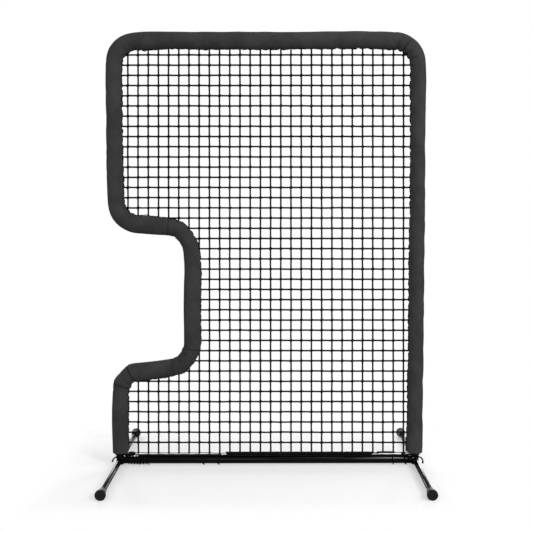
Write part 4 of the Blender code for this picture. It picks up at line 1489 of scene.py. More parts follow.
@dataclass
class KnottedNet:
    """Square-mesh net of twisted twine, knotted at each crossing and led into the slit of the pads."""

    line: FrameLine
    shelf: FinishShelf
    border_reach: float
    open_reach: float
    rope_z: float
    rope_height: Callable[[float], float]
    columns: int = 28
    rows: int = 40
    row_pitch: float = 0.0527
    row_tightening: float = 0.00005
    pitch_bottom: float = 0.0516
    pitch_top: float = 0.0497
    middle_bottom: float = -0.0082
    middle_top: float = 0.0012
    tilt_bottom: float = 0.0012
    tilt_top: float = 0.0064
    twine: float = 0.009
    knot: float = 0.018
    wrap: float = 0.37
    wrap_squash: float = 0.8
    hitch_size: float = 0.72
    strand_stray: float = 0.0002
    knot_turn: float = 0.12
    mark_spacing: float = 0.002
    mark_gap: float = 0.4
    seed: int = 5

    # (lean in degrees, radius as a share of the knot) of the two wraps
    WRAPS = ((-45, 0.26), (45, 0.34))
    WRAP_SEGMENTS = (8, 5)
    UV_LENGTH = 0.02
    KNOT_SIZES = (0.94, 1.06)
    KNOT_STRAY = (0.00025, 0.0008, 0.00025)
    STEPS = ((1, 0), (0, 1), (-1, 0), (0, -1))
    NO_SPAN = 1e-12
    TOUCHING = 1e-6

    def crossing(self, column: float, row: float) -> Array:
        """Where a column and a row of cords meet, as (x, z).

        Args:
            column: the column, counted from the left.
            row: the row, counted from the bottom rope.

        Returns:
            The place.
        """
        share = row / self.rows
        pitch = self.pitch_bottom + (self.pitch_top - self.pitch_bottom) * share
        centre = self.middle_bottom + (self.middle_top - self.middle_bottom) * share
        x = centre + (column - (self.columns - 1) / 2) * pitch
        tilt = self.tilt_bottom + (self.tilt_top - self.tilt_bottom) * share
        rise = row * (self.row_pitch - self.row_tightening * row)
        return np.array([x, self.rope_z + rise - tilt * x])

    @staticmethod
    def inside(point: Array, loop: Array) -> bool:
        """True where a point lies inside a closed outline.

        Args:
            point: the point's (x, z).
            loop: the outline's points.

        Returns:
            Whether it does.
        """
        a, b = loop, np.roll(loop, -1, axis=0)
        spans = (a[:, 1] > point[1]) != (b[:, 1] > point[1])
        a, b = a[spans], b[spans]
        x = a[:, 0] + (point[1] - a[:, 1]) / (b[:, 1] - a[:, 1]) * (b[:, 0] - a[:, 0])
        return bool(np.count_nonzero(point[0] < x) % 2)

    @staticmethod
    def hit(point: Array, way: Array, loop: Array) -> float:
        """Distance from a point to a closed outline in a direction.

        Args:
            point: the point's (x, z).
            way: the direction, of length one.
            loop: the outline's points.

        Returns:
            The distance.
        """
        a, edge = loop, np.roll(loop, -1, axis=0) - loop
        cross = way[0] * edge[:, 1] - way[1] * edge[:, 0]
        cross = np.where(np.abs(cross) < KnottedNet.NO_SPAN, KnottedNet.NO_SPAN, cross)
        gap = a - point
        along = (gap[:, 0] * edge[:, 1] - gap[:, 1] * edge[:, 0]) / cross
        share = (gap[:, 0] * way[1] - gap[:, 1] * way[0]) / cross
        met = along[(along > KnottedNet.TOUCHING) & (share >= 0.0) & (share <= 1.0)]
        return float(met.min())

    def knot_mesh(self) -> tuple[Array, list[list[int]], list[tuple[float, float]]]:
        """One knot, modelled from two wraps of twine that cross each other over the crossing.

        Returns:
            Its vertices, faces and corner UVs.
        """
        wraps = []
        for lean, reach in self.WRAPS:
            wrap = Bench.hoop("knot_wrap", self.knot * reach, self.twine * self.wrap, self.WRAP_SEGMENTS)
            bpy.ops.object.mode_set(mode="EDIT")
            bpy.ops.mesh.select_all(action="SELECT")
            bpy.ops.transform.resize(value=(1.0, self.wrap_squash, 1.0))
            bpy.ops.transform.rotate(value=math.radians(lean), orient_axis="Y", center_override=UPRIGHT)
            Bench.leave()
            wraps.append(wrap)
        knot = Bench.joined(wraps)
        mesh = knot.data
        vertices = Inflation.places(mesh)
        faces = [list(face.vertices) for face in mesh.polygons]
        layer = mesh.uv_layers[0]
        uvs = [(layer.data[k].uv[1], layer.data[k].uv[0] * self.UV_LENGTH)
               for face in mesh.polygons for k in face.loop_indices]
        bpy.data.objects.remove(knot, do_unlink=True)
        return vertices, faces, uvs

    def build(self) -> list[float]:
        """Makes the net.

        Returns:
            The distances along the frame where its cords enter the pads, in order.
        """
        draws = np.random.default_rng(self.seed)
        border = self.line.offset_loop(self.border_reach, self.rope_z)
        opening = self.line.offset_loop(self.open_reach, self.rope_z)
        knots = {}
        for column in range(self.columns):
            for row in range(1, self.rows + 1):
                flat = self.crossing(column, row)
                if self.inside(flat, opening):
                    stray = draws.normal(0.0, 1.0, 3) * self.KNOT_STRAY
                    knots[column, row] = self.upright(flat) + stray
        draft = MeshDraft()
        ends: list[Array] = []
        hitches: list[Array] = []
        for (column, row), place in knots.items():
            for step in self.STEPS:
                neighbour = (column + step[0], row + step[1])
                if neighbour in knots:
                    if min(step) == 0:
                        self.strand(draft, place, knots[neighbour], draws)
                    continue
                way = FrameLine.unit(self.crossing(*neighbour) - self.crossing(column, row))
                flat = place[[X, Z]]
                far = flat + way * self.hit(flat, way, border)
                if far[1] > self.rope_z + self.twine:
                    ends.append(far)
                else:
                    far[1] = self.rope_height(far[0])
                    hitches.append(self.upright(far))
                self.strand(draft, place, self.upright(far), draws)
        self.tie(draft, list(knots.values()), 1.0, draws)
        self.tie(draft, hitches, self.hitch_size, draws)
        self.shelf.fit(draft.build("knotted_net", LAY_UV), Slot.TWINE, "net_panel")
        LOG.info("the net has %d knots", len(knots))
        return self.marks(np.array(ends))

    @staticmethod
    def upright(flat: Array) -> Array:
        """A place in the net's own plane, as (x, y, z)."""
        return np.array([flat[0], 0.0, flat[1]])

    def strand(self, draft: MeshDraft, start: Array, end: Array, draws: np.random.Generator) -> None:
        """Adds one bar of twine between two knots, a little off straight in the middle."""
        between = (start + end) / 2 + draws.normal(0.0, self.strand_stray, 3)
        draft.tube(np.array([start, between, end]), self.twine / 2, 5, capped=False)

    def tie(self, draft: MeshDraft, places: Sequence[Array], size: float,
            draws: np.random.Generator) -> None:
        """Copies the knot to some places, each copy turned a little.

        Args:
            draft: the draft that takes the copies.
            places: where they go.
            size: their size as a share of the knot's.
            draws: the net's random draws.
        """
        vertices, faces, uvs = self.knot_mesh()
        for place in places:
            turn = np.array(Matrix.Rotation(draws.normal(0.0, self.knot_turn), 3, "Y"))
            base = draft.count
            draft.vertices.append(vertices @ turn.T * draws.uniform(*self.KNOT_SIZES) * size + place)
            draft.count += len(vertices)
            draft.faces.extend([base + k for k in face] for face in faces)
            draft.uvs.extend(uvs)

    def marks(self, ends: Array) -> list[float]:
        """Distances along the frame line nearest to the cords' ends, without close doubles.

        Args:
            ends: the ends as rows of (x, z).

        Returns:
            The distances in order.
        """
        s = np.arange(self.line.lengths[0], self.line.lengths[-1], self.mark_spacing)
        point, normal = self.line.at(s)
        track = point + normal * self.border_reach
        nearest = sorted(float(s[np.linalg.norm(track - end, axis=1).argmin()]) for end in ends)
        kept = [nearest[0]]
        for value in nearest[1:]:
            if value - kept[-1] > self.row_pitch * self.mark_gap:
                kept.append(value)
        return kept


def smooth_route(points: Sequence[Vector], spacing: float) -> list[Vector]:
    """Points a spacing apart on a smooth curve through the given points.

    Args:
        points: the given points.
        spacing: the spacing.

    Returns:
        The points.
    """
    points = [Vector(p) for p in points]
    route = []
    padded = [points[0] * 2 - points[1]] + points + [points[-1] * 2 - points[-2]]
    for a, b, c, d in zip(padded, padded[1:], padded[2:], padded[3:]):
        steps = max(1, round((c - b).length / spacing))
        for k in range(steps):
            t = k / steps
            route.append(0.5 * (2 * b + (c - a) * t + (2 * a - 5 * b + 4 * c - d) * t * t
                                + (3 * b - a - 3 * c + d) * t * t * t))
    return route + [points[-1]]


@dataclass
class ScreenRopes:
    """Border rope, bottom rope, the lacing of net to rail with its free tails, and the covers' lace."""

    line: FrameLine
    shape: PadShape
    shelf: FinishShelf
    upright_x: float
    rail_z: float
    tube_radius: float
    border: float = 0.006
    border_offset: float = 0.02245
    tail: float = 0.007
    rope: float = 0.0044
    bottom_rope: float = 0.004
    bottom_z: float = 0.065
    hem_z: float = 0.0618
    hem_cord: float = 0.0062
    hem_pitch: float = 0.0058
    corner_knot_x: float = 0.687
    lashing_z: tuple[float, float] = (0.0592, 0.054)
    cradle_z: float = 0.0432
    sway_length: float = 0.062
    lace: float = 0.0045
    lace_margin: float = 0.05
    lace_lift: float = 0.006
    lace_out: float = 0.15
    lace_weave: float = 0.2
    lace_cover: float = 0.65
    route_step: float = 0.01
    whipping: float = 0.3
    whip: float = 0.0038
    whip_turn: float = 0.24
    turn_points: int = 24
    tie_xs: tuple[float, ...] = (-0.33, -0.254, 0.63, 0.69)
    tie_pitch: float = 0.014
    hub_top: float = 0.0482
    clearance: float = 0.0003

    HUB_CROSSING = ((-0.006, 0.0, 0.0), (0.0, 0.0, 0.0), (0.015, 0.0007, 0.001), (0.03, 0.0018, 0.008))
    # steps from the hub: outwards, towards the net and up
    TAILS = {
        Side.LEFT: ((0.0, -0.0007, 0.0), (0.007, -0.002, 0.0007), (0.0138, -0.0025, -0.0008),
                    (0.0198, -0.002, -0.0046), (0.0245, -0.001, -0.0102), (0.0277, 0.0, -0.017),
                    (0.0297, 0.001, -0.0245)),
        Side.RIGHT: ((0.0, -0.0007, 0.0), (0.007, -0.002, 0.0009), (0.014, -0.0025, -0.0002),
                     (0.0206, -0.002, -0.0036), (0.0261, -0.001, -0.009), (0.0298, 0.0, -0.0157),
                     (0.0314, 0.001, -0.0228), (0.0309, 0.002, -0.029), (0.0292, 0.002, -0.034)),
    }
    TAIL_GAP = 0.0003
    # where a tail's whipping starts and how fast it swells, as shares of the tail
    TIP_START, TIP_SWELL, CUT_END = 0.72, 0.08, 0.8
    # (distance from the upright, turns, pitch, starting turn) of the windings at the left hub
    HUB_TURNS = (0.068, 4.75, 0.0155, 0.25)
    FILLING_TURNS = (0.0425, 6.0, 0.0155, 0.45)
    # (share of a turn past both ends, points) of the cradle under each hub
    CRADLE = (0.35, 32)
    LASHING_POINTS = 64
    # the whipping's gap to the rope and its unevenness: (reach, waves) outwards and along
    HEM_GAP, HEM_SWELL, HEM_SWAY = 0.0003, (0.0005, 97.0), (0.0007, 143.0)
    HEM_MARGIN = 0.018
    DOUBLED_RADIUS = 0.0052
    KNOT_SWELL = (0.7, 0.3)
    KNOT_POINTS, KNOT_SWAY = 14, 0.0012
    RAIL_KNOT = ((0.01, 0.009, 0.008), 2)
    RAIL_KNOT_PLACE = (-0.006, 0.0012)
    WHIP_SINK, WHIP_POINTS = 0.001, 9
    # (name, left end, right end, lean, sway) of the strands along the lacing
    STRANDS = (
        ("left_top_strand", -0.664, -0.231, 0.3, 0.2), ("left_back_strand", -0.664, -0.231, -1.05, 0.1),
        ("left_front_strand", -0.655, 0.534, 1.3, 0.1), ("middle_back_strand", -0.225, 0.716, -1.57, 0.0),
        ("right_top_strand", 0.54, 0.716, 0.8, 0.1), ("right_front_strand", 0.54, 0.716, 2.0, 0.08),
    )
    STRAND_STEP, STRAND_GAP = 0.004, 0.0002
    SAG = ((-0.48, 0.0015), (-0.3, 0.001), (-0.262, 0.003))
    REST_XS = (-0.225, 0.155, 0.528)
    DOUBLED_TO_X = 0.64
    RISE = ((0.556, -0.0002), (0.6, -0.001))
    UNDER_KNOTS = (-0.646, -0.6, -0.321, -0.245, 0.637, 0.701)
    CORNER_KNOTS = {Side.LEFT: ((-0.6855, -0.003, 0.061), (0.038, 0.023, 0.024), 8),
                    Side.RIGHT: ((0.687, -0.003, 0.059), (0.025, 0.02, 0.02), 5)}
    HUB_KNOTS = {Side.LEFT: ((-0.705, -0.009, 0.056), (0.036, 0.022, 0.015), 7),
                 Side.RIGHT: ((0.712, -0.008, 0.055), (0.022, 0.02, 0.0135), 4)}
    CORNER_STRAND = ((0.7185, -0.006, 0.0655), (0.706, -0.012, 0.064), (0.692, -0.016, 0.0595),
                     (0.678, -0.0175, 0.0515), (0.664, -0.0185, 0.0455), (0.65, -0.019, 0.0435))

    @property
    def lacing_radius(self) -> float:
        """Distance of the lacing's centreline from the rail's axis."""
        return self.tube_radius + self.clearance + self.rope / 2

    def hub_crossing(self, side: Side) -> list[Vector]:
        """Lacing points from a tail to the rail: past the front of the hub, above the leg."""
        height = self.hub_top + self.clearance
        return [Vector((side.value * (self.upright_x - inward), -self.lacing_radius - forward, height - down))
                for inward, forward, down in self.HUB_CROSSING]

    def tail_route(self, side: Side) -> list[Vector]:
        """A free lacing end, from the front of the hub out past the pad and down towards the floor."""
        start = self.hub_crossing(side)[0] + Vector((side.value * self.TAIL_GAP, 0.0, 0.0))
        points = [start + Vector((side.value * out, back, rise)) for out, back, rise in self.TAILS[side]]
        return smooth_route(points, self.tail / 4)

    def winding(self, x: float, turns: float, pitch: float, start_turn: float = 0.0) -> list[Vector]:
        """Points that wind round the rail.

        Args:
            x: where they start.
            turns: how many turns they make.
            pitch: how far each turn goes along the rail.
            start_turn: turns from the top at the start.

        Returns:
            The points.
        """
        places = []
        for k in range(round(turns * self.turn_points) + 1):
            angle = math.tau * (start_turn + k / self.turn_points)
            places.append(Vector((x + pitch * k / self.turn_points, -self.lacing_radius * math.sin(angle),
                                  self.rail_z + self.lacing_radius * math.cos(angle))))
        return places

    def hub_winding(self, inward: float, *turning: float) -> list[Vector]:
        """A winding that starts some way in from the left upright."""
        return self.winding(-self.upright_x + inward, *turning)

    def lacing_route(self) -> list[Vector]:
        """The whole lacing rope: it lies on the rail and winds round it at the ties and both ends.

        Returns:
            Its points.
        """
        left = self.hub_winding(*self.HUB_TURNS)
        ties = [self.winding(x, 1.0, self.tie_pitch) for x in self.tie_xs]
        stretches = [self.hub_crossing(Side.LEFT), left, *ties, self.hub_crossing(Side.RIGHT)[::-1]]
        return [point for stretch in stretches for point in stretch]

    def piece(self, name: str, path: Sequence[Floats], radius: Union[float, Array],
              sides: int, *nodes: str) -> Piece:
        """Makes a rope.

        Args:
            name: the piece's name.
            path: the points of its middle line.
            radius: its radius, or one for each point.
            sides: faces round it.
            nodes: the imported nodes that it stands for.

        Returns:
            The dressed rope.
        """
        draft = MeshDraft()
        draft.tube(np.array([tuple(p) for p in path]), radius, sides)
        made = draft.build(name, LAY_UV)
        self.shelf.fit(made, Slot.ROPE, *nodes)
        return made

    def build_tails(self) -> None:
        """Makes the two free ends of the lacing, each fatter at its whipped tip."""
        for side in Side:
            route = self.tail_route(side)
            share = np.arange(len(route)) / len(route)
            tip = np.clip((share - self.TIP_START) / self.TIP_SWELL, 0.0, 1.0)
            radii = self.tail / 2 * (1.0 + self.whipping * tip)
            radii[-1] *= self.CUT_END
            tail = self.piece(side.word + "_lacing_end", route, radii, 12, side.word + "_cord_tail")
            length = sum((b - a).length for a, b in zip(route, route[1:]))

    def build_border(self) -> None:
        """Makes the rope that edges the net inside the pads."""
        start = self.line.run(0, z=self.bottom_z - self.border / 2)
        end = self.line.run(6, z=self.bottom_z - self.border / 2)
        s = np.linspace(start, end, round((end - start) / (self.border * 2)))
        zero = np.zeros_like(s)
        self.piece("border_rope", self.line.shell(s, zero + self.border_offset, zero), self.border / 2, 10,
                   "net_border_rope")

    def bottom_route(self) -> list[Vector]:
        """The bottom rope's path, sagging to lie on the lacing in the middle.

        Returns:
            Its points.
        """
        end_x = self.upright_x - self.border_offset - self.border
        knot_x = self.corner_knot_x
        places = [(-end_x, self.bottom_z), (-knot_x, self.bottom_z)]
        places += [(x, self.bottom_z - sag) for x, sag in self.SAG]
        places += [(x, self.hem_z) for x in self.REST_XS]
        places += [(x, self.bottom_z - sag) for x, sag in self.RISE]
        places += [(knot_x, self.bottom_z), (end_x, self.bottom_z)]
        return smooth_route([Vector((x, 0.0, z)) for x, z in places], self.route_step)

    def bottom_height(self, x: float) -> float:
        """Height of the bottom rope at a place along it."""
        route = self.bottom_route()
        return float(np.interp(x, [p.x for p in route], [p.z for p in route]))

    def build_bottom(self) -> None:
        """Makes the rope under the net's lowest row, knotted at both corners."""
        route = self.bottom_route()
        doubled = [self.REST_XS[-1] < point.x < self.DOUBLED_TO_X for point in route]
        radii = np.where(doubled, self.DOUBLED_RADIUS, self.bottom_rope / 2)
        self.piece("bottom_rope", route, radii, 10, "net_bottom_rope")
        for side in Side:
            for kind, (place, size, turns) in (("corner_knot_", self.CORNER_KNOTS[side]),
                                               ("hub_knot_", self.HUB_KNOTS[side])):
                self.knot(kind + side.word, place, size, turns)
        slope = [Vector((-x, y, z)) for x, y, z in self.CORNER_STRAND]
        self.piece("corner_strand_left", smooth_route(slope, self.STRAND_STEP), self.rope / 2, 10)

    def build_hem(self) -> None:
        """Makes the dense whipping round the bottom rope where it lies on the lacing."""
        left, right = self.REST_XS[0] + self.HEM_MARGIN, self.REST_XS[-1]
        turns = round((right - left) / self.hem_pitch)
        angle = np.linspace(0.0, turns * math.tau, turns * 10)
        x = left + (right - left) * angle / angle[-1]
        (swell, swell_wave), (sway, sway_wave) = self.HEM_SWELL, self.HEM_SWAY
        orbit = (self.bottom_rope + self.hem_cord) / 2 + self.HEM_GAP + swell * np.sin(x * swell_wave) ** 2
        x = x + sway * np.sin(x * sway_wave) * np.sin(angle)
        self.piece("hem_whipping", self.coil(x, orbit, angle, self.hem_z), self.hem_cord / 2, 6)

    @staticmethod
    def coil(x: Array, orbit: Union[float, Array], angle: Array, z: float) -> Array:
        """Places round an axis along X at height z, with angles from the top towards the net."""
        return np.stack([x, orbit * np.sin(angle), z + orbit * np.cos(angle)], axis=1)

    def build_strand(self, name: str, left: float, right: float, lean: float, sway: float) -> None:
        """Makes a strand that lies along the lacing on the rail.

        Args:
            name: the piece's name.
            left: x of its left end.
            right: x of its right end.
            lean: how far round the lacing it lies, in radians from the top towards the front.
            sway: how far it wanders round the lacing, in radians.
        """
        x = np.arange(left, right, self.STRAND_STEP)
        turn = -lean + sway * np.sin(x * math.tau / self.sway_length)
        orbit = (self.rope + self.hem_cord) / 2 + self.STRAND_GAP
        self.piece(name, self.coil(x, orbit, turn, self.rail_z + self.lacing_radius), self.hem_cord / 2, 8)

    def build_lashings(self) -> None:
        """Makes the turns of rope round both hubs, above the rail and under the lacing's crossing."""
        past, points = self.CRADLE
        turns = (("hub_lashing_", np.linspace(0.0, 2.0 * math.tau, self.LASHING_POINTS),
                  np.linspace(*self.lashing_z, self.LASHING_POINTS)),
                 ("hub_cradle_", np.linspace(-past, math.pi + past, points), np.full(points, self.cradle_z)))
        for side in Side:
            for name, angle, z in turns:
                path = np.stack([side.value * (self.upright_x + self.lacing_radius * np.sin(angle)),
                                 -self.lacing_radius * np.cos(angle), z], axis=1)
                self.piece(name + side.word, path, self.rope / 2, 10)

    def knot(self, name: str, place: Floats, size: Floats, turns: int) -> None:
        """Makes a knot: some wraps of rope side by side round one place, fattest in the middle.

        Args:
            name: the piece's name.
            place: the knot's middle.
            size: its length along the rail, its depth and its height.
            turns: how many wraps it has.
        """
        rope = min(self.rope, size[0] / turns)
        share = np.linspace(0.0, 1.0, turns * self.KNOT_POINTS)
        turn = share * turns * math.tau
        waist, belly = self.KNOT_SWELL
        swell = (waist + belly * np.sin(math.pi * share)) / 2
        path = np.stack([(share - 0.5) * (size[0] - rope) + self.KNOT_SWAY * np.sin(turn * 0.5),
                         np.cos(turn) * (size[1] - rope) * swell,
                         np.sin(turn) * (size[2] - rope) * swell], axis=1)
        self.piece(name, path + np.array(place), rope / 2, 8)

    def build_rail_lacing(self) -> None:
        """Makes the lacing on the rail, the lashings at the hubs and the knots under the rail."""
        self.piece("rail_lacing", self.lacing_route(), self.rope / 2, 10, "rail_lacing_rope")
        self.piece("left_filling_turns", self.hub_winding(*self.FILLING_TURNS), self.rope / 2, 8)
        forward, lift = self.RAIL_KNOT_PLACE
        for index, x in enumerate(self.UNDER_KNOTS):
            place = (x, forward, self.rail_z - self.lacing_radius + lift)
            self.knot("rail_knot_%d" % (index + 1), place, *self.RAIL_KNOT)

    def build_lace(self, marks: Floats) -> None:
        """Makes the cord that weaves over and under the net's cords along the covers' edges.

        Args:
            marks: distances along the line where the net's cords enter the pads.
        """
        marks = [marks[0] - self.lace_margin, *marks, marks[-1] + self.lace_margin]
        start, end = (self.line.run(run, z=self.bottom_z + self.lace_lift) for run in (0, 6))
        s = np.linspace(start, end, round((end - start) / self.lace))
        phase = np.interp(s, marks, np.arange(len(marks)))
        places = self.line.shell(s, self.shape.lace_reach(s) + self.lace * self.lace_out, np.zeros_like(s))
        places[:, Y] += np.cos(math.pi * phase) * (self.lace * self.lace_weave)
        self.piece("cover_lace", places, self.lace / 2, 8)

    def build_whips(self) -> None:
        """Makes the short stitches that tie the lace through the covers' edges."""
        draft = MeshDraft()
        share = np.linspace(-1.0, 1.0, self.WHIP_POINTS)
        arch = np.cos(share * math.pi / 2)
        over = arch * (self.lace * self.lace_cover + self.whip / 2)
        for s in self.shape.edge.places[1:-1]:
            along = np.full(self.WHIP_POINTS, s)
            reach = self.shape.edge.radius + self.shape.cover(along, share * self.whip_turn)
            reach = reach + over - self.WHIP_SINK * (1.0 - arch)
            draft.tube(self.line.shell(along, reach, share * self.whip_turn), self.whip / 2, 6)
        self.shelf.fit(draft.build("lace_stitches", LAY_UV), Slot.ROPE)

    def build_all(self, marks: Floats) -> None:
        """Makes every rope but the tails.

        Args:
            marks: distances along the line where the net's cords enter the pads.
        """
        self.build_border()
        self.build_bottom()
        self.build_hem()
        for strand in self.STRANDS:
            self.build_strand(*strand)
        self.build_lashings()
        self.build_rail_lacing()
        self.build_lace(marks)
        self.build_whips()


@dataclass
class SteelBase:
    """The bottom rail, the hubs, the legs and their rubber feet."""

    shelf: FinishShelf
    tube_radius: float
    wall: float = 0.0016
    leg_wall: float = 0.0015
    edge: float = 0.0006
    edge_steps: int = 2
    spigot: float = 0.06
    fit_gap: float = 0.0003
    button_hole: float = 0.0043
    hole_depth: float = 0.012
    bead: float = 0.0016
    bead_sink: float = 0.8
    bead_reach: float = 0.93
    flange_depth: float = 0.01
    foot_back: float = 0.017
    foot_step: float = 0.0015
    foot_edge: float = 0.0009
    bore_past: float = 0.005
    rim: float = 0.003
    recess: float = 0.0012
    boss_inset: float = 0.62
    boss_rise: float = 0.6
    face_margin: float = 0.0005
    # where the foot turns paler behind its face, and how far it takes to fade in, as shares of the flange's
    # depth
    bloom: tuple[float, float] = (0.7, 0.6)

    BEAD_SEGMENTS = (48, 10)

    def pipe(self, name: str, radius: float, wall: float, node: str) -> Piece:
        """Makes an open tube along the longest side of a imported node's box.

        Args:
            name: the piece's name.
            radius: its outer radius.
            wall: its wall.
            node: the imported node.

        Returns:
            The tube.
        """
        low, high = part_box(node)
        size = high - low
        axis = max(range(3), key=lambda k: size[k])
        turn = (TURN_TO_X, TURN_TO_Y, UPRIGHT)[axis]
        tube = Bench.rod(name, radius, size[axis], (low + high) / 2, turn, filled=False)
        Bench.modifier(tube, "SOLIDIFY", {"thickness": wall, "offset": -1.0})
        Bench.soften(tube, self.edge, self.edge_steps)
        return tube

    def build_rail(self) -> None:
        """Makes the bottom rail."""
        rail = self.pipe("rail_tube", self.tube_radius, self.wall, "bottom_rail")
        for side in Side:
            button = side.word + "_rail_button"
            place = (middle(button, X), self.tube_radius, middle(button, Z))
            Bench.cut(rail, Bench.rod("button_hole", self.button_hole, self.hole_depth, place, TURN_TO_Y, 24))
        Bench.smooth(rail)
        self.shelf.fit(rail, Slot.STEEL, "bottom_rail")

    def build_hub(self, side: Side) -> None:
        """Makes a hub: a post with a rail stub, a leg bore and a weld bead round each end of the bore.

        Args:
            side: the end of the screen that it stands at.
        """
        name, leg = side.word + "_base_hub", side.word + "_leg_tube"
        low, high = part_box(name)
        x, leg_z, leg_radius = middle(leg, X), middle(leg, Z), span(leg, X) / 2
        shoulder = high.z - self.spigot
        post = Bench.rod(name + "_post", self.tube_radius, shoulder - low.z,
                         (x, 0.0, (low.z + shoulder) / 2), sides=64)
        Bench.edit(post, lambda centre, normal: normal.z > SQUARE_FACING)
        bpy.ops.mesh.inset(thickness=self.wall)
        Bench.extrude(0.0, 0.0, self.spigot)
        Bench.leave()
        length = self.tube_radius + self.spigot
        stub = Bench.rod("stub", self.tube_radius - self.wall, length,
                         (x - side.value * length / 2, 0.0, middle("bottom_rail", Z)), TURN_TO_X)
        Bench.cut(post, stub, "UNION")
        bore = Bench.rod("bore", leg_radius + self.fit_gap, self.tube_radius * 4, (x, 0.0, leg_z), TURN_TO_Y)
        Bench.cut(post, bore)
        Bench.soften(post, self.edge, self.edge_steps, 40.0)
        beads = [Bench.hoop("bead", leg_radius + self.bead * self.bead_sink, self.bead, self.BEAD_SEGMENTS,
                            (x, end.value * self.tube_radius * self.bead_reach, leg_z), TURN_TO_Y)
                 for end in End]
        self.shelf.fit(Bench.joined([post, *beads]), Slot.STEEL, name)

    def build_leg(self, side: Side) -> None:
        """Makes a leg tube."""
        name = side.word + "_leg_tube"
        leg = self.pipe(name + "_pipe", span(name, X) / 2, self.leg_wall, name)
        self.shelf.fit(leg, Slot.STEEL, name)

    def build_foot(self, side: Side, end: End) -> None:
        """Makes a rubber foot: a rimmed round face and a body that tapers along the leg.

        Args:
            side: the end of the screen.
            end: the end of its leg.
        """
        name, leg = "%s_%s_foot" % (side.word, end.name.lower()), side.word + "_leg_tube"
        low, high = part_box(name)
        x, z = middle(leg, X), middle(leg, Z)
        face_y = high.y if end is End.REAR else low.y
        inward = -end.value
        flange, body = z, (high.y - low.y) - self.flange_depth
        foot = Bench.rod(name + "_ferrule", flange, self.flange_depth,
                         (x, face_y + inward * self.flange_depth / 2, z), TURN_TO_Y, 64)
        Bench.edit(foot, lambda centre, normal: normal.y * inward > SQUARE_FACING)
        bpy.ops.mesh.inset(thickness=self.foot_step)
        Bench.extrude(0.0, inward * body, 0.0)
        share = self.foot_back / (flange - self.foot_step)
        bpy.ops.transform.resize(value=(share, 1.0, share),
                                 center_override=(x, face_y + inward * (self.flange_depth + body), z))
        bpy.ops.mesh.inset(thickness=self.foot_back - span(leg, X) / 2 - self.fit_gap)
        Bench.extrude(0.0, -inward * (body + self.bore_past), 0.0)
        Bench.leave()
        Bench.edit(foot, lambda centre, normal: normal.y * inward < -SQUARE_FACING and
                   abs(centre.y - face_y) < self.face_margin)
        bpy.ops.mesh.inset(thickness=self.rim)
        Bench.extrude(0.0, inward * self.recess, 0.0)
        bpy.ops.mesh.inset(thickness=flange * self.boss_inset)
        Bench.extrude(0.0, -inward * self.recess * self.boss_rise, 0.0)
        Bench.leave()
        Bench.soften(foot, self.foot_edge, 3, 30.0)
        # marks the body behind the face, which the rubber's finish makes paler
        depth = np.abs(Inflation.places(foot.data)[:, Y] - face_y)
        start, fade = self.bloom
        bloom = (depth - self.flange_depth * start) / (self.flange_depth * fade)
        Bench.mark(foot, TONE_MARK, np.clip(bloom, 0.0, 1.0))
        self.shelf.fit(foot, Slot.RUBBER, name)

    def build_all(self) -> None:
        """Makes the whole base."""
        self.build_rail()
        for side in Side:
            self.build_hub(side)
            self.build_leg(side)
            for end in End:
                self.build_foot(side, end)


@dataclass
class SnapButtons:
    """The nine snap buttons, each riding on its own joint, and the springs behind them."""

    shelf: FinishShelf
    nodes: Mapping[str, Piece]
    pin: float = 0.0038
    collar_depth: float = 0.0009
    dome: float = 0.0017
    edge: float = 0.0002

    NAMES = ("elbow", "notch", "shoulder", "top", "right_side",
             "left_base", "right_base", "left_rail", "right_rail")

    def model(self) -> bpy.types.Mesh:
        """One button, its dome towards +Y and its origin at the tip of the dome.

        Returns:
            Its mesh.
        """
        length, collar = span("left_rail_button", Y), span("left_rail_button", X) / 2
        button = Bench.rod("button", collar, self.collar_depth,
                           (0.0, -length + self.collar_depth / 2, 0.0), (-math.pi / 2, 0, 0), 32)
        Bench.edit(button, lambda centre, normal: normal.y > SQUARE_FACING)
        bpy.ops.mesh.inset(thickness=collar - self.pin)
        Bench.extrude(0.0, length - self.collar_depth, 0.0)
        bpy.ops.mesh.bevel(offset=self.dome, segments=5)
        Bench.leave()
        Bench.soften(button, self.edge, 2)
        mesh = button.data
        bpy.data.objects.remove(button, do_unlink=True)
        return mesh

    def build(self) -> None:
        """Places a copy at each joint and dresses the springs."""
        model = self.model()
        for name in self.NAMES:
            node = name + "_button"
            mesh = model.copy()
            mesh.transform(Matrix.Translation((middle(node, X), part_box(node)[1].y, middle(node, Z))))
            piece = placed(name + "_snap_button", mesh)
            self.shelf.dress(piece, Slot.ZINC)
            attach(piece, name + "_button")
            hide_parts(name + "_button")
            self.spring(name)
        LOG.info("%d snap buttons with their springs", len(self.NAMES))

    def spring(self, name: str) -> None:
        """Makes a spring as a copy of the imported one, in the same place.

        Args:
            name: the tube joint's name.
        """
        piece = placed(name + "_leaf_spring", self.nodes[name + "_spring"].data.copy())
        Bench.modifier(piece, "WELD", {"merge_threshold": WELD_DISTANCE})
        self.shelf.dress(piece, Slot.SPRING)
        low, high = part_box(name + "_spring")
        name + "_button"
        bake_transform(piece)
        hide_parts(name + "_spring")


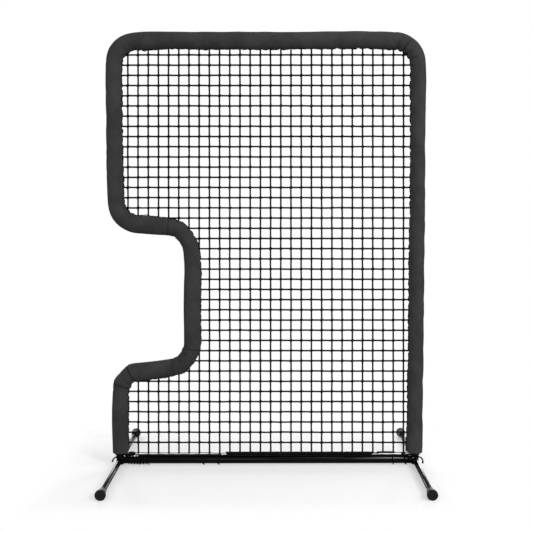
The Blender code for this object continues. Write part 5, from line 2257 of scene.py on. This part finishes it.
@dataclass
class FrameTubes:
    """The painted tubes inside the pads, each with a swaged end in the next."""

    line: FrameLine
    shelf: FinishShelf
    joints: Floats
    radius: float
    wall: float = 0.0016
    swage: float = 0.06
    taper: float = 0.006
    clearance: float = 0.0003
    gap: float = 0.0004
    sides: int = 32
    spacing: float = 0.02

    NAMES = ("left_lower_upright", "notch_lower_tube", "notch_upper_tube",
             "top_left_tube", "top_right_tube", "right_lower_upright")

    def build(self) -> None:
        """Makes the six tubes."""
        starts = [0.0] + [s + self.gap for s in self.joints]
        ends = [*self.joints, float(self.line.lengths[-1])]
        for name, start, end in zip(self.NAMES, starts, ends):
            self.tube(name, start, end, end is not ends[-1])

    def tube(self, name: str, start: float, end: float, swaged: bool) -> None:
        """Makes one tube as a closed wall, outside and inside.

        Args:
            name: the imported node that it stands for.
            start: distance of its start along the line.
            end: distance of its end, or of the shoulder before its swaged end.
            swaged: whether it has a swaged end.
        """
        body_end = end - self.taper if swaged else end
        s = list(np.linspace(start, body_end, max(2, round((body_end - start) / self.spacing)) + 1))
        radius = [self.radius] * len(s)
        if swaged:
            spigot = self.radius - self.wall - self.clearance
            s += [end, end + self.swage / 2, end + self.swage]
            radius += [spigot] * 3
        s, radius = np.array(s), np.array(radius)
        loop_s = np.concatenate([s, s[::-1]])
        loop_r = np.concatenate([radius, radius[::-1] - self.wall])
        angle = np.arange(self.sides) * math.tau / self.sides
        grid_s, grid_a = np.meshgrid(np.append(loop_s, loop_s[0]), angle, indexing="ij")
        grid_r = np.repeat(np.append(loop_r, loop_r[0])[:, None], self.sides, axis=1)
        uv = np.zeros((len(grid_s), self.sides + 1, 2))
        draft = MeshDraft()
        draft.grid(self.line.shell(grid_s, grid_r, grid_a), uv, ring=True)
        piece = draft.build(name + "_pipe", CLOTH_UV)
        Bench.modifier(piece, "WELD", {"merge_threshold": WELD_DISTANCE})
        piece.data.set_sharp_from_angle(angle=SHARP_EDGE)
        self.shelf.fit(piece, Slot.STEEL, name)


@dataclass(frozen=True)
class Camera:
    """The camera that took the reference view, from a fit of the screen's edges."""

    focal_pixels: float = 890.7
    frame_pixels: float = 533.0
    sensor: float = 36.0
    place: tuple[float, float, float] = (0.054, -4.411, 1.392)
    pitch_down: float = 4.947
    yaw: float = -0.688
    roll: float = -0.271

    def build(self) -> None:
        """Makes the camera and sets it as the scene's."""
        pitch, yaw, roll = (math.radians(a) for a in (self.pitch_down, self.yaw, self.roll))
        ahead = Vector((math.sin(yaw) * math.cos(pitch), math.cos(yaw) * math.cos(pitch), -math.sin(pitch)))
        level = Vector((math.cos(yaw), -math.sin(yaw), 0.0))
        above = level.cross(ahead)
        right = level * math.cos(roll) + above * math.sin(roll)
        up = above * math.cos(roll) - level * math.sin(roll)
        data = bpy.data.cameras.new("front_camera")
        data.sensor_width = self.sensor
        data.lens = self.sensor * self.focal_pixels / self.frame_pixels
        camera = placed("front_camera", data)
        axes = Matrix((right, up, -ahead)).transposed().to_4x4()
        camera.matrix_world = Matrix.Translation(self.place) @ axes
        bpy.context.scene.camera = camera


@dataclass(frozen=True)
class Softbox:
    """One area lamp."""

    name: str
    place: tuple[float, float, float]
    aim: tuple[float, float, float]
    size: tuple[float, float]
    power: float

    def build(self) -> None:
        """Makes the lamp, turned to its aim."""
        data = bpy.data.lights.new(self.name, "AREA")
        data.shape = "RECTANGLE"
        data.size, data.size_y = self.size
        data.energy = self.power
        lamp = placed(self.name, data)
        lamp.location = self.place
        lamp.rotation_mode = "QUATERNION"
        lamp.rotation_quaternion = (Vector(self.aim) - Vector(self.place)).to_track_quat("-Z", "Y")


@dataclass(frozen=True)
class Studio:
    """A pale floor that fades into a white surround, and soft light from above and in front."""

    floor_grey: float = 0.86
    world_light: float = 0.32
    white: float = 1.0
    lift: float = 0.36
    floor_half: float = 9.0
    fade_x: tuple[float, float] = (0.88, 1.12)
    fade_y: tuple[float, float] = (0.5, 0.72)

    LAMPS = (
        Softbox("key_right", (2.6, -3.6, 3.0), (0.0, 0.0, 1.0), (1.3, 1.3), 90.0),
        Softbox("front", (-0.8, -4.6, 2.6), (0.0, 0.0, 1.0), (1.8, 1.8), 66.0),
        Softbox("side_left", (-3.2, -0.6, 2.3), (-0.7, -0.2, 0.3), (0.8, 0.8), 16.0),
        Softbox("side_right", (3.0, -0.4, 2.2), (0.7, -0.2, 0.3), (0.6, 0.6), 18.0),
        Softbox("top", (0.0, 1.4, 4.2), (0.0, 0.0, 0.0), (2.4, 1.4), 16.0),
        Softbox("rail_glint", (1.24, -0.6, 6.4), (0.6, 0.0, 0.0), (1.2, 1.8), 34.0),
        Softbox("hub_glint", (1.6, -2.5, 6.4), (0.7, 0.0, 0.0), (0.45, 0.8), 34.0),
        Softbox("left_leg_glint", (-1.6, 3.0, 0.95), (-0.75, -0.3, 0.0), (0.5, 1.6), 44.0),
        Softbox("right_leg_glint", (0.95, 3.0, 1.15), (0.75, -0.3, 0.0), (0.4, 1.3), 26.0),
        Softbox("outer_leg_glint", (1.85, 3.0, 0.85), (0.75, -0.3, 0.0), (0.4, 1.4), 30.0),
    )

    def build(self) -> None:
        """Makes the floor, the lamps and the world."""
        self.floor()
        for lamp in self.LAMPS:
            lamp.build()
        self.world()
        bpy.context.scene.view_settings.view_transform = "Standard"

    def floor(self) -> None:
        """Makes the floor: opaque near the screen, clear far from it, and paler to the camera."""
        Bench.clear()
        bpy.ops.mesh.primitive_plane_add(size=self.floor_half * 2)
        floor = Bench.taken("studio_floor")
        shader = Shader("floor_paper", {"Roughness": 0.9, "Specular IOR Level": 0.1})
        grain = shader.noise(3.0, 2.0)
        shader.set("Base Color", shader.blend(grain, grey(self.floor_grey), grey(self.floor_grey + 0.01)))
        aside, ahead = (shader.math("ABSOLUTE", part) for part in shader.parts(shader.place(), "XY"))
        fade = shader.math("MAXIMUM", aside.stretched(*self.fade_x), ahead.stretched(*self.fade_y))
        clear = shader.node("ShaderNodeBsdfTransparent")
        solid = Signal(shader, shader.principled.outputs[0])
        seen = shader.node("ShaderNodeLightPath", output="Is Camera Ray")
        glow = shader.node("ShaderNodeEmission", None, {"Color": grey(self.white), "Strength": 1.0})
        lifted = shader.node("ShaderNodeMixShader", None, {0: seen * self.lift, 1: solid, 2: glow})
        mixed = shader.node("ShaderNodeMixShader", None, {0: fade, 1: lifted, 2: clear})
        shader.feed(shader.tree.nodes["Material Output"].inputs["Surface"], mixed)
        floor.data.materials.append(shader.material)

    def world(self) -> None:
        """Lights the scene evenly, and shows white to the camera and in reflections."""
        world = bpy.data.worlds.new("studio_surround")
        bpy.context.scene.world = world
        world.use_nodes = True
        nodes = NodeTree(world.node_tree)
        nodes.tree.nodes.remove(nodes.tree.nodes["Background"])
        camera, glossy, clear = (nodes.node("ShaderNodeLightPath", output="Is %s Ray" % kind)
                                 for kind in ("Camera", "Glossy", "Transmission"))
        seen = nodes.math("MAXIMUM", camera, nodes.math("MAXIMUM", glossy, clear))
        light, white = (nodes.node("ShaderNodeBackground", None, {"Color": grey(level), "Strength": strength})
                        for level, strength in ((1.0, self.world_light), (self.white, 1.0)))
        mixed = nodes.node("ShaderNodeMixShader", None, {0: seen, 1: light, 2: white})
        nodes.feed(nodes.tree.nodes["World Output"].inputs["Surface"], mixed)


@dataclass(frozen=True)
class FramePlan:
    """Sizes of the padded frame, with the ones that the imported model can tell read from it."""

    notch_x: float = -0.3715
    lower_arm_z: float = 0.472
    lower_arm_rise: float = 0.045
    upper_arm_z: float = 1.23
    upper_arm_fall: float = 0.0345
    notch_bend: float = 0.112
    top_tube_z: float = 2.115
    top_bend: float = 0.118
    elbow_joint_drop: float = 0.162
    shoulder_joint_rise: float = 0.19
    right_joint_z: float = 1.1
    pad_radius: float = 0.0395
    pad_lift: float = 0.006
    foam_lift: float = 0.0045
    net_overlap: float = 0.0065

    @property
    def upright_x(self) -> float:
        """Distance of the uprights' axes from the middle."""
        return middle("right_leg_tube", X)

    @property
    def tube_radius(self) -> float:
        """Outer radius of the frame tubes, from the rail's own height."""
        return span("bottom_rail", Z) / 2

    @property
    def rail_z(self) -> float:
        """Height of the rail's axis."""
        return middle("bottom_rail", Z)

    def line(self) -> FrameLine:
        """The centreline that tubes, foam and covers follow.

        Returns:
            The centreline.
        """
        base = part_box("left_lower_upright")[0].z
        x = self.upright_x
        return FrameLine([
            (-x, base, 0.0),
            (-x, self.lower_arm_z, self.notch_bend),
            (self.notch_x, self.lower_arm_z + self.lower_arm_rise, self.notch_bend),
            (self.notch_x, self.upper_arm_z - self.upper_arm_fall, self.notch_bend),
            (-x, self.upper_arm_z, self.notch_bend),
            (-x, self.top_tube_z, self.top_bend),
            (x, self.top_tube_z, self.top_bend),
            (x, base, 0.0),
        ])

    def joints(self, line: FrameLine) -> list[float]:
        """Distances along the line of the five tube joints.

        Args:
            line: the centreline.

        Returns:
            The distances in order.
        """
        low = self.lower_arm_z + self.lower_arm_rise
        high = self.upper_arm_z - self.upper_arm_fall
        return [line.run(0, z=self.lower_arm_z - self.elbow_joint_drop), line.run(2, z=(low + high) / 2),
                line.run(4, z=self.upper_arm_z + self.shoulder_joint_rise), line.run(5, x=0.0),
                line.run(6, z=self.right_joint_z)]


def corners(box: tuple[Vector, Vector]) -> list[list[float]]:
    """A box as plain lists."""
    return [list(box[0]), list(box[1])]


def main() -> None:
    """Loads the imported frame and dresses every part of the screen."""
    logging.basicConfig(level=logging.INFO, format="%(name)s: %(message)s")
    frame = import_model()
    plan = FramePlan()
    line = plan.line()
    shelf = FinishShelf()
    shape = PadShape(line, PadEdge(line, plan.pad_radius))
    bottom_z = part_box("left_lower_cover")[0].z + plan.pad_lift
    ropes = ScreenRopes(line, shape, shelf, plan.upright_x, plan.rail_z, plan.tube_radius)
    Camera().build()
    ropes.build_tails()
    net = KnottedNet(line, shelf, ropes.border_offset + ropes.border / 2,
                     plan.pad_radius + plan.net_overlap, ropes.bottom_z, ropes.bottom_height)
    marks = net.build()
    ropes.build_all(marks)
    covers = PadCovers(line, shape, shelf, plan.pad_radius, bottom_z)
    skins = covers.build()
    SeamStitches(covers, shelf).build(skins)
    FoamSleeves(line, shape, shelf, plan.joints(line), bottom_z + plan.foam_lift).build()
    FrameTubes(line, shelf, plan.joints(line), plan.tube_radius).build()
    SteelBase(shelf, plan.tube_radius).build_all()
    SnapButtons(shelf, frame["nodes"]).build()
    Studio().build()


if __name__ == "__main__":
    main()
